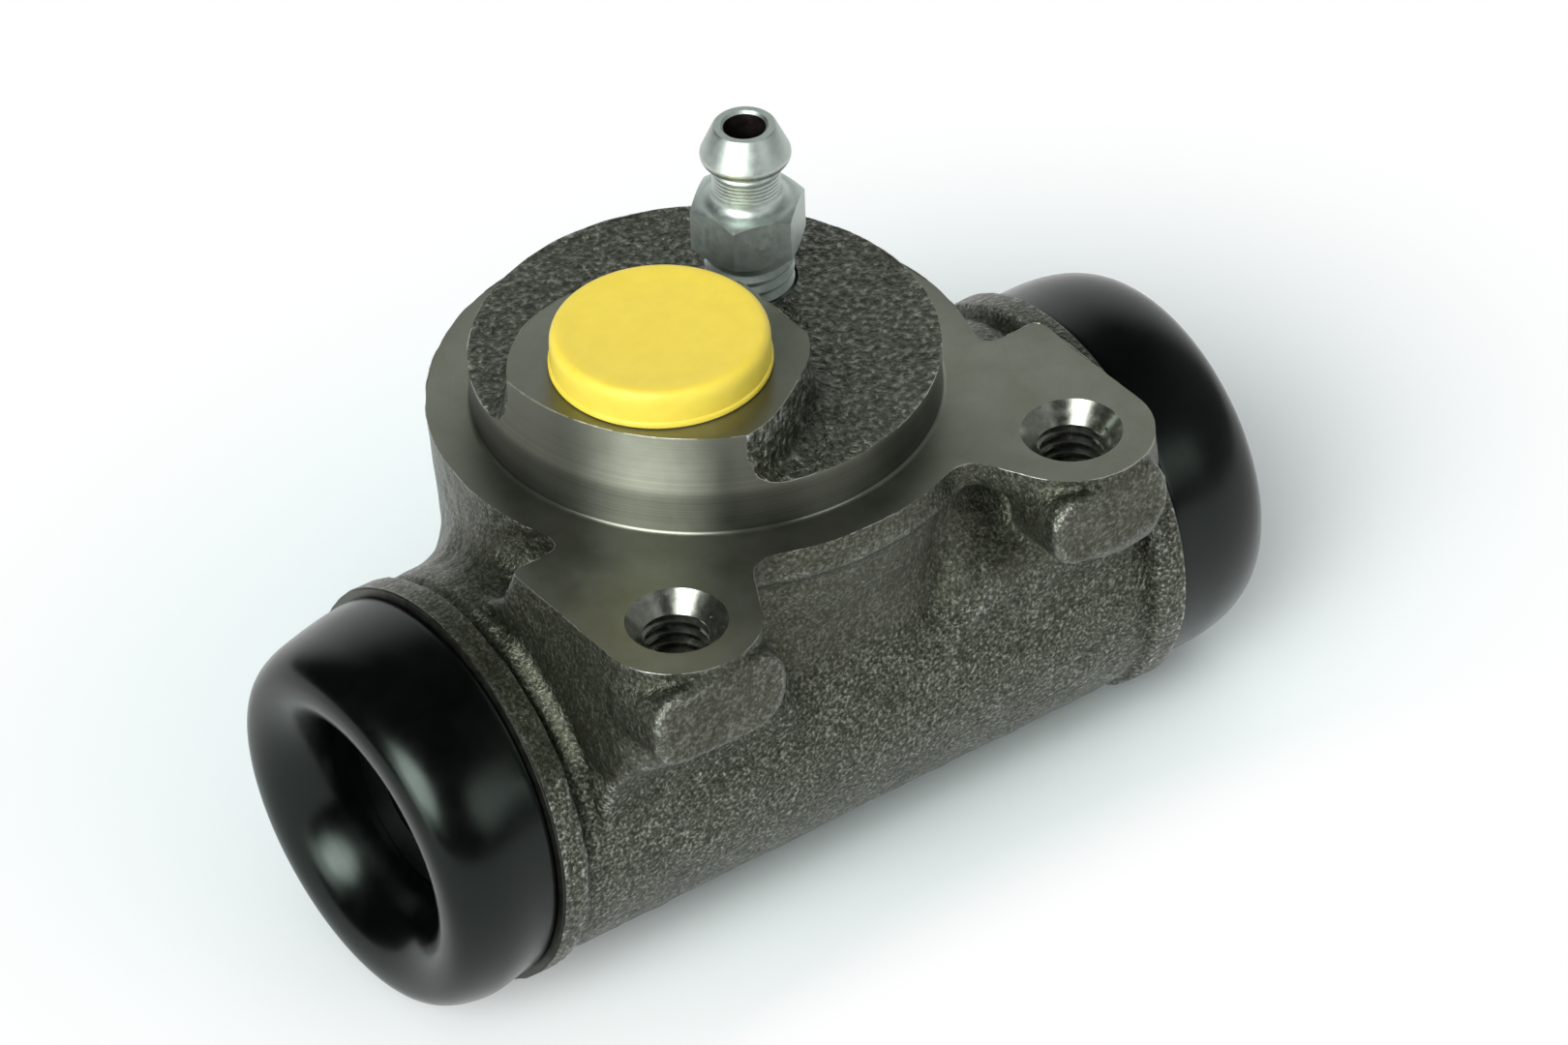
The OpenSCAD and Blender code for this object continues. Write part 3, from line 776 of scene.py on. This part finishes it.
def end_cutter(side, material):
    """Turns the flange face, the boot seat and its groove at one end."""
    far = 22
    beyond = SEAT_END + 6
    band_r = FLANGE_R - 0.14
    band_x = FLANGE_X - 0.12
    groove_r = SEAT_R - 0.7
    profile = [
        (0, SEAT_END), (SEAT_R - 0.5, SEAT_END), (SEAT_R, SEAT_END - 0.5), (SEAT_R, FLANGE_X + 2.3),
        (groove_r, FLANGE_X + 2.3), (groove_r, FLANGE_X + 0.8), (SEAT_R, FLANGE_X + 0.8), (SEAT_R, FLANGE_X),
        (band_r, FLANGE_X), (band_r, band_x), (far, band_x), (far, beyond), (0, beyond),
    ]
    points, faces = revolve(profile, 160)
    return make_object("end_cutter", along_x(points, side), faces, [material])


def bore_cutter(material):
    """Bores the barrel through."""
    reach = SEAT_END + 5
    profile = [(0, -reach), (BORE_R, -reach), (BORE_R, reach), (0, reach)]
    points, faces = revolve(profile, 128)
    return make_object("bore_cutter", along_x(points, 1), faces, [material])


def tapped_cutters(x, y, top, minor_r, depth, sink_r, material):
    """A countersunk drill and a tap for one hole from above."""
    major_r = minor_r + 0.5 * THREAD_PITCH
    drill_r = minor_r - 0.02
    cone = sink_r - drill_r
    drill = [(0, top - depth - minor_r * 0.6), (drill_r, top - depth), (drill_r, top - cone)]
    drill += [(sink_r, top), (sink_r + 1, top + 1), (0, top + 1)]
    points, faces = revolve(drill, 96)
    drilled = make_object("drill", points + (x, y, 0), faces, [material])
    points, faces = threaded_rod(minor_r - 0.05, major_r, THREAD_PITCH, top - depth + 0.2, top - cone + 2.0)
    tap = make_object("tap", points + (x, y, 0), faces, [material])
    return [drilled, tap]


def bleed_cutter(material):
    """Spot faces and drills the seat of the bleed screw."""
    hole_r = 3.5
    hole_low = -5.6
    face_r = 3.7
    face_z = SPIGOT_H - 0.4
    above = 12
    profile = [(0, hole_low), (hole_r, hole_low), (hole_r, face_z - 0.4), (face_r, face_z)]
    profile += [(face_r + 0.05, above), (0, above)]
    points, faces = revolve(profile, 64)
    return make_object("bleed_cutter", points + (BLEED_X, BLEED_Y, 0), faces, [material])


def seams(mesh, kinds):
    """Chains of points where two of the named materials meet; without the first of them, on the boss only."""
    beside = {}
    for face in mesh.polygons:
        for edge in face.edge_keys:
            beside.setdefault(edge, set()).add(mesh.materials[face.material_index].name)
    links = {}
    for (a, b), names in beside.items():
        raised = mesh.vertices[a].co.z > SPIGOT_H + 1
        if len(names & set(kinds)) == 2 and (kinds[0] in names or raised):
            links.setdefault(a, []).append(b)
            links.setdefault(b, []).append(a)
    chains = []
    used = set()
    for start in sorted(links, key=lambda spot: (len(links[spot]), spot)):
        if start in used:
            continue
        chain = [start]
        used.add(start)
        while True:
            ahead = [spot for spot in links[chain[-1]] if spot not in used]
            if not ahead:
                break
            chain.append(ahead[0])
            used.add(ahead[0])
        chains.append([mesh.vertices[spot].co.copy() for spot in chain])
    return chains


def build_burrs(body, kinds):
    """The thin bright burr that the tools leave here and there along the edges of the machined faces."""
    curve = bpy.data.curves.new("burr_line", "CURVE")
    curve.dimensions = "3D"
    curve.bevel_depth = BURR_R
    curve.bevel_resolution = 1
    for chain in seams(body.data, kinds):
        thickness = [0.35 + 0.9 * noise_at(spot * 0.3) + 0.5 * noise_at(spot * 1.7) for spot in chain]
        run = []
        for spot, thick in zip(chain + [None], thickness + [0]):
            if thick > BURR_LEAST and spot.y < PAD_R - 0.4:
                run.append((spot, min(thick, 1.0)))
                continue
            if len(run) > 2:
                line = curve.splines.new("POLY")
                line.points.add(len(run) - 1)
                for point, (place_at, size) in zip(line.points, run):
                    point.co = (*place_at, 1)
                    point.radius = size
            run = []
    drawn = bpy.data.objects.new("burr_line", curve)
    bpy.context.collection.objects.link(drawn)
    mesh = bpy.data.meshes.new_from_object(drawn.evaluated_get(bpy.context.evaluated_depsgraph_get()))
    bpy.data.curves.remove(curve)
    mesh.materials.clear()
    mesh.materials.append(plain_metal("burr", (0.42, 0.43, 0.38), (0.6, 0.61, 0.56), 0.36, 0.3))
    burrs = bpy.data.objects.new("machining_burrs", mesh)
    bpy.context.collection.objects.link(burrs)
    place(burrs, "housing", "cast_body", "cylinder_body")


def build_body(cast, machined, turned, bored, tapped):
    """The finished body in place of its CAD node."""
    body = raw_casting(cast)
    cutters = [
        pad_cutter(machined, turned),
        boss_cutter(machined),
        boss_side_cutter(cast),
        end_cutter(-1, bored),
        end_cutter(1, bored),
        bore_cutter(bored),
        *tapped_cutters(-BOLT_X, BOLT_Y, 0, BOLT_MINOR_R, BOLT_DEPTH, BOLT_SINK_R, tapped),
        *tapped_cutters(BOLT_X, BOLT_Y, 0, BOLT_MINOR_R, BOLT_DEPTH, BOLT_SINK_R, tapped),
        *tapped_cutters(INLET_X, INLET_Y, BOSS_H, INLET_MINOR_R, INLET_DEPTH, INLET_SINK_R, tapped),
        bleed_cutter(cast),
    ]
    combine(body, cutters, "DIFFERENCE")
    crease(body, 38)
    build_burrs(body, (cast.name, machined.name, turned.name))
    place(body, "housing", "cast_body", "cylinder_body")


# The boots

LIP_R = 8.05
LIP_LEN = 1.6
BOOT_WALL = 1.3
SEAM_DEPTH = 2.5
BOOT_GAP = 0.05
NOSE_DEPTH = 4.5
SAG_LEN = 5.0
LEFT_BOOT = {"outer_r": 15.5, "reach": 8.48, "rounding": 6.3, "crest_r": 12.5, "fullness": 2.5}
LEFT_TILT = math.radians(4.1)
LEFT_SHIFT = (-0.35, -0.2)
RIGHT_BOOT = {"outer_r": 15.4, "reach": 10.2, "rounding": 7.0, "crest_r": 11.3, "fullness": 2.3}


def boot_shape(mouth, outer_r, reach, rounding, crest_r, fullness):
    """Profiles of a boot's outside and of its lip, as radius and distance from the flange face."""
    bore_r = SEAT_R + BOOT_GAP
    depth = reach - mouth
    inner_depth = depth - BOOT_WALL
    outer_seam = math.degrees(math.asin(1 - SEAM_DEPTH / depth))
    inner_seam = math.degrees(math.asin((depth - SEAM_DEPTH) / inner_depth))
    roll = (crest_r - LIP_R, depth)
    hollow = (crest_r - LIP_R - BOOT_WALL, inner_depth)
    side_end = reach - rounding
    outside = [(bore_r, BOOT_GAP)]
    outside += arc((outer_r - 0.5, BOOT_GAP + 0.5), (0.5, 0.5), 270, 360, 6)
    outside += rows(outer_r, 0.8, side_end - 0.2, 14)
    outside += arc((crest_r, side_end), (outer_r - crest_r, rounding), 0, 90, 32, fullness)
    outside += arc((crest_r, mouth), roll, 90, 180 - outer_seam, 24)[1:]
    outside += arc((crest_r, mouth), hollow, 180 - inner_seam, 90, 12)
    outside += arc(
        (crest_r, SEAT_LEN + 0.1), (bore_r - crest_r, reach - BOOT_WALL - SEAT_LEN - 0.1), 90, 0, 20, fullness
    )[1:]
    outside += rows(bore_r, 3.4, 2.4, 4)
    outside += [(SEAT_R - 0.65, 2.25), (SEAT_R - 0.65, 0.85), (bore_r, 0.75)]
    lip = arc((crest_r, mouth), roll, 180 - outer_seam, 180, 14)
    lip += rows(LIP_R, mouth - 0.3, mouth - LIP_LEN, 4)
    lip += [(LIP_R + BOOT_WALL, mouth - LIP_LEN)]
    lip += arc((crest_r, mouth), hollow, 180, 180 - inner_seam, 8)
    return outside, lip


def sag(points, side, tilt, shift):
    """Tilts a boot about its foot and lets it hang, more towards its outer end."""
    reach = side * points[:, 0] - FLANGE_X
    share = ramp(reach, 0.0, SAG_LEN)
    bent = points.copy()
    height = points[:, 2] - BARREL_Z
    bent[:, 0] += side * np.tan(tilt) * (height + SEAT_R * 0.2) * share
    bent[:, 1] += shift[0] * share
    bent[:, 2] += shift[1] * share - np.sin(tilt) * np.maximum(reach, 0) * share
    bent[:, 2] = np.maximum(bent[:, 2], BODY_LOW[2] + 0.03)
    return bent


def build_boot(name, side, piston, shape, material, tilt=0.0, shift=(0.0, 0.0)):
    """A boot in two pieces: its outside is left where it is made, and its lip moves with the piston."""
    nose_end = abs(place_of("shoe_socket_" + name.split("_")[-1])[0]) + NOSE_DEPTH
    outside, lip = boot_shape(nose_end - FLANGE_X + BOOT_GAP, **shape)
    for piece, profile in ((name + "_outside", outside), (name + "_lip", lip)):
        points, faces = revolve(profile, 160, looped=True)
        points = along_x(points + (0, 0, FLANGE_X), side)
        made = make_object(piece, sag(points, side, tilt, shift), faces, [material])
        crease(made, 50)
        if profile is outside:
            place(made, None, "boot_rubber", name)
            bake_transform(made)
        else:
            place(made, piston, "boot_rubber", name)


# The return spring

SPRING_WIRE_R = 0.55
SPRING_TURNS = 6


def build_spring_half(name, far_end, material):
    """Half of the return spring, from the middle of the barrel to one end."""
    low, high = box_of("return_spring")
    coil_r = (high[1] - low[1]) / 2 - SPRING_WIRE_R
    first = low[0] + SPRING_WIRE_R
    last = high[0] - SPRING_WIRE_R
    share = np.linspace(0.5, float(far_end > 0), 121)
    angles = FULL_TURN * SPRING_TURNS * share
    outward = np.stack([0 * angles, np.cos(angles), np.sin(angles)], axis=1)
    rise = (last - first) / (FULL_TURN * SPRING_TURNS * coil_r)
    ahead = np.stack([0 * angles + rise, -np.sin(angles), np.cos(angles)], axis=1)
    sideways = np.cross(ahead, outward) / math.hypot(1, rise)
    centres = outward * coil_r + (0, BARREL_Y, BARREL_Z)
    centres[:, 0] = first + (last - first) * share
    points = []
    sides = 16
    for turn in np.arange(sides) * FULL_TURN / sides:
        points.append(centres + SPRING_WIRE_R * (math.cos(turn) * outward + math.sin(turn) * sideways))
    points = np.stack(points, axis=1).reshape(-1, 3)
    faces = [list(range(sides)), list(range(len(points) - 1, len(points) - 1 - sides, -1))]
    for start in range(0, len(points) - sides, sides):
        for here in range(sides):
            there = (here + 1) % sides
            faces.append((start + there, start + here, start + sides + here, start + sides + there))
    half = make_object(name, points, faces, [material])
    crease(half, 60)
    place(half, None, "spring_wire", "return_spring")
    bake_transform(half)


# The bleed screw and the plug

def build_bleed_screw(material, dark):
    """The screw with its thread, its hexagon and a hose nipple whose bore has painted shade."""
    thread_r = 3.45
    root = thread_r - 0.5
    hex_low = 7.4
    hex_high = 11.5
    hex_r = 7.9 / 2 / math.cos(math.pi / 6)
    hex_turn = math.radians(40)
    cone_r = 4.7
    foot_r = 3.6
    neck_r = 2.65
    bore_r = 1.65
    bore_low = 2.0
    top = SCREW_HIGH[2]

    shank = [(0, SCREW_LOW[2]), (0.9, SCREW_LOW[2]), (root, -5.3), (root, hex_low - 1.1)]
    shank += [(thread_r, hex_low - 0.8), (thread_r, hex_low + 0.4), (0, hex_low + 0.4)]
    screw = make_object("bleed_screw_shank", *revolve(shank, 72), [material])
    points, faces = threaded_rod(root - 0.02, thread_r, THREAD_PITCH, -4.4, hex_low - 0.3)
    thread = make_object("thread", points, faces, [material])
    prism = [(0, hex_low), (hex_r, hex_low), (hex_r, hex_high), (0, hex_high)]
    points, faces = revolve(prism, 6)
    turn = np.array(Matrix.Rotation(hex_turn, 3, "Z"))
    head = make_object("hexagon", points @ turn.T, faces, [material])
    cones = [(0, hex_low), (cone_r - 0.75, hex_low), (cone_r, hex_low + 0.4)]
    cones += [(cone_r, hex_high - 0.4), (cone_r - 0.75, hex_high), (0, hex_high)]
    combine(head, [make_object("cones", *revolve(cones, 96), [material])], "INTERSECT")
    nipple = [(0, hex_high - 0.5), (foot_r, hex_high - 0.5), (foot_r, hex_high)]
    nipple += arc((foot_r, hex_high + 0.95), (0.95, 0.95), 270, 180, 8)
    for ring_z in 12.5 + 0.34 * np.arange(5):
        nipple += [(neck_r, ring_z), (neck_r, ring_z + 0.15), (neck_r - 0.03, ring_z + 0.25)]
    nipple += [(neck_r, 14.2), (neck_r, 14.35), (2.55, 14.42), (2.78, 14.5)]
    nipple += [(2.85, 14.62), (2.8, 14.75), (2.75, 14.8)]
    nipple += arc((2.95, 15.75), (0.55, 0.6), -60, 35, 10)
    nipple += [(2.5, top - 0.15), (2.35, top), (1.85, top)]
    nipple += [(bore_r, top - 0.2), (bore_r, bore_low), (0, bore_low)]
    tip = make_object("nipple", *revolve(nipple, 72), [material, dark])
    # Painted shade: faces deep in the nipple's bore take the near-black material, as shade falls there
    for face in tip.data.polygons:
        in_bore = math.hypot(*face.center[:2]) < bore_r + 0.05
        face.material_index = int(in_bore and face.center.z < top - 0.3)
    combine(screw, [thread, head, tip], "UNION")
    screw.data.transform(Matrix.Translation((BLEED_X, BLEED_Y, 0)))
    screw.name = "bleed_screw_turned"
    crease(screw, 30)
    place(screw, "bleed_screw", "zinc_plate", "bleed_screw")


def build_plug(material):
    """The push-in plug, with a dished head and a hollow stem."""
    low = BOSS_H + 0.05
    top = PLUG_HIGH[2]
    head_r = (PLUG_HIGH[0] - PLUG_LOW[0]) / 2
    body_r = head_r - 0.15
    stem_r = 4.4
    hollow_r = stem_r - 1.2
    stem_end = PLUG_LOW[2]
    profile = [(0, low + 0.6), (hollow_r - 0.3, low + 0.6), (hollow_r, low + 0.3), (hollow_r, stem_end)]
    profile += [(stem_r - 0.5, stem_end), (stem_r, stem_end + 0.8), (stem_r, low - 0.2), (stem_r + 0.2, low)]
    profile += [(head_r - 0.1, low), (head_r, low + 0.1), (head_r, low + 0.4), (head_r - 0.08, low + 0.5)]
    profile += [(body_r, low + 0.55)] + rows(body_r, low + 0.7, top - 1.3, 3)
    profile += arc((body_r - 0.75, top - 1.15), (0.75, 1.15), 0, 90, 12, 2.4)
    profile += [(body_r - 1.3, top), (body_r - 1.8, top - 0.07), (body_r - 2.4, top - 0.11)]
    profile += [(3.0, top - 0.13), (1.2, top - 0.13), (0, top - 0.13)]
    points, faces = revolve(profile, 128)
    plug = make_object("inlet_plug_moulded", points + (INLET_X, INLET_Y, 0), faces, [material])
    crease(plug, 42)
    place(plug, "inlet_plug", "yellow_plastic", "inlet_plug")


# The stage

FLOOR_Z = cad_box[0].z
CAMERA_AZIMUTH = -35.305
CAMERA_ELEVATION = 38.095
CAMERA_ROLL = -2.041
CAMERA_PLACE = (-421.15, -604.31, 564.17)
CAMERA_LENS = 280.23

# Where the floor keeps the shadow: an ellipse beside the object and a front edge, in metres
FLOOR_HALF = 6.0
SHADOW_MIDDLE = (0.0134, 0.0132)
SHADOW_HALF = (0.068, 0.0485)
SHADOW_TURN = math.radians(-28.6)
SHADOW_EDGE = (0.54, 1.24)
SHADOW_FRONT = (-0.018, -0.032)

# Bright parts of the room: azimuth, elevation, inner and outer angle in degrees, and strength
WINDOWS = ((-167, 16, 3, 20, 4.5), (-150, 36, 6, 25.5, 10.0), (-71, 26, 3, 18, 1.9))
WALLS = ((52, 2, 20, 52, 1.0), (-20, 0, 35, 70, 0.2))
ROOM_LIGHT = 0.04

# The light from above, in metres
FILL_DISTANCE = 0.9
FILL_SIZE = 1.3
FILL_RADIANCE = 0.75


def build_camera():
    """The photograph's camera, a long lens from above the left front."""
    azimuth = math.radians(CAMERA_AZIMUTH)
    elevation = math.radians(CAMERA_ELEVATION)
    data = bpy.data.cameras.new("camera")
    data.lens = CAMERA_LENS
    data.sensor_width = 36
    data.clip_start = 0.05
    data.clip_end = 20
    camera = bpy.data.objects.new("camera", data)
    bpy.context.collection.objects.link(camera)
    aim = Matrix.Rotation(azimuth, 4, "Z") @ Matrix.Rotation(math.pi / 2 - elevation, 4, "X")
    roll = Matrix.Rotation(math.radians(CAMERA_ROLL), 4, "Z")
    camera.matrix_world = Matrix.Translation(Vector(CAMERA_PLACE) * MM) @ aim @ roll
    bpy.context.scene.camera = camera


def build_floor():
    """A white floor that keeps the soft shadow and turns plain white further out."""
    mesh = bpy.data.meshes.new("floor")
    sides = ((-1, -1), (1, -1), (1, 1), (-1, 1))
    corners = [(FLOOR_HALF * x, FLOOR_HALF * y, FLOOR_Z) for x, y in sides]
    mesh.from_pydata(corners, [], [(0, 1, 2, 3)])
    floor = bpy.data.objects.new("floor", mesh)
    bpy.context.collection.objects.link(floor)
    material, tree = new_material("floor_white")
    spot = node(tree, "NewGeometry").outputs["Position"]
    middle = (*SHADOW_MIDDLE, FLOOR_Z)
    shifted = node(tree, "VectorMath", {0: spot, 1: middle}, operation="SUBTRACT").outputs["Vector"]
    scale = (1 / SHADOW_HALF[0], 1 / SHADOW_HALF[1], 1)
    squeezed = node(
        tree, "Mapping", {"Vector": shifted, "Rotation": (0, 0, SHADOW_TURN), "Scale": scale}
    ).outputs["Vector"]
    distance = node(tree, "VectorMath", {0: squeezed}, operation="LENGTH").outputs["Value"]
    around = fade(tree, distance, *SHADOW_EDGE)
    depth = node(tree, "SeparateXYZ", {"Vector": spot}).outputs["Y"]
    outside = maths(tree, "MAXIMUM", around, fade(tree, depth, *SHADOW_FRONT))
    rays = node(tree, "LightPath").outputs
    seen = maths(tree, "MAXIMUM", rays["Is Camera Ray"], rays["Is Glossy Ray"])
    seen = maths(tree, "MAXIMUM", seen, rays["Is Transmission Ray"])
    share = maths(tree, "MULTIPLY", seen, outside)
    matt = node(tree, "BsdfDiffuse", {"Color": (0.82, 0.875, 0.885, 1)}).outputs["BSDF"]
    white = node(tree, "Emission", {"Color": (1, 1, 1, 1), "Strength": 1.0}).outputs["Emission"]
    mixed = node(tree, "MixShader", {0: share, 1: matt, 2: white}).outputs["Shader"]
    node(tree, "OutputMaterial", {"Surface": mixed})
    mesh.materials.append(material)


def toward(azimuth, elevation):
    """Unit vector from the object, with the azimuth turned from +X to +Y, in degrees."""
    a = math.radians(azimuth)
    e = math.radians(elevation)
    return Vector((math.cos(a) * math.cos(e), math.sin(a) * math.cos(e), math.sin(e)))


def glow(tree, azimuth, elevation, inner, outer, strength):
    """Brightness of the room round a direction, fading between two angles in degrees."""
    facing = node(
        tree, "VectorMath",
        {0: node(tree, "TexCoord").outputs["Generated"], 1: toward(azimuth, elevation)},
        operation="DOT_PRODUCT",
    ).outputs["Value"]
    return fade(tree, facing, math.cos(math.radians(outer)), math.cos(math.radians(inner)), strength)


def build_world():
    """A dim room with bright windows to the left and in front, and a pale wall behind and to the right."""
    world = bpy.data.worlds.new("studio")
    world.use_nodes = True
    tree = world.node_tree
    tree.nodes.clear()
    parts = [glow(tree, *part) for part in WINDOWS + WALLS]
    room = parts[0]
    for part in parts[1:]:
        room = maths(tree, "ADD", room, part)
    room = maths(tree, "ADD", room, ROOM_LIGHT)
    light = node(tree, "Background", {"Color": (0.96, 1.0, 0.98, 1), "Strength": room})
    node(tree, "OutputWorld", {"Surface": light.outputs["Background"]})
    bpy.context.scene.world = world


def build_fill():
    """A soft square light from above that leaves no shine of its own."""
    data = bpy.data.lights.new("fill", "AREA")
    data.shape = "RECTANGLE"
    data.size = FILL_SIZE
    data.size_y = FILL_SIZE
    data.energy = FILL_RADIANCE * math.pi * FILL_SIZE * FILL_SIZE
    lamp = bpy.data.objects.new("fill", data)
    bpy.context.collection.objects.link(lamp)
    lamp.location.z = FILL_DISTANCE
    lamp.visible_glossy = False


def paint_inside():
    """Materials of the CAD nodes that show inside the mouths of the boots and in the bore."""
    # A black piston finish and painted shade: it is made far darker than a real metal so that the inside of
    # the boot mouths stays as dark as shade makes it
    finish_and_shade = plain_metal("black_anodised", (0.008, 0.008, 0.0085), (0.016, 0.016, 0.017), 0.5, 0.3)
    pressed = plain_metal("pressed_steel", (0.42, 0.42, 0.42), (0.55, 0.55, 0.54), 0.3, 0.8)
    seal = black_rubber("seal_rubber", 0.4, 0.5)
    finishes = {
        "piston_left": finish_and_shade, "piston_right": finish_and_shade,
        "piston_cup_left": seal, "piston_cup_right": seal,
        "cup_expander_left": pressed, "cup_expander_right": pressed,
    }
    for name, material in finishes.items():
        mesh = frame["nodes"][name].data
        mesh.materials.clear()
        mesh.materials.append(material)


bpy.context.scene.view_settings.view_transform = "Standard"
build_body(
    cast_iron(),
    machined_iron("faced_iron", roughness=0.3, drawn=0.75, ringing=0.03),
    machined_iron("turned_iron", roughness=0.42, drawn=0.95, ringing=0.1, foot=0.5),
    plain_metal("bored_iron", (0.1, 0.102, 0.088), (0.15, 0.153, 0.135), 0.42, 0.6),
    tapped_iron(),
)
boot_rubber = black_rubber("boot_rubber", 0.2, 0.27)
build_boot("dust_boot_left", -1, "piston_left", LEFT_BOOT, boot_rubber, LEFT_TILT, LEFT_SHIFT)
build_boot("dust_boot_right", 1, "piston_right", RIGHT_BOOT, boot_rubber)
build_bleed_screw(
    plain_metal("zinc_plate", (0.53, 0.585, 0.55), (0.61, 0.67, 0.63), 0.46, 0.5),
    # Painted shade for the inside of the nipple's bore
    plain_metal("dark_bore", (0.03, 0.024, 0.022), (0.06, 0.048, 0.044), 0.6, 0.6),
)
build_plug(yellow_plastic())
spring_wire = plain_metal("spring_wire", (0.28, 0.29, 0.3), (0.4, 0.41, 0.42), 0.32, 0.5)
build_spring_half("return_spring_left_half", -1, spring_wire)
build_spring_half("return_spring_right_half", 1, spring_wire)
paint_inside()
build_camera()
build_floor()
build_world()
build_fill()
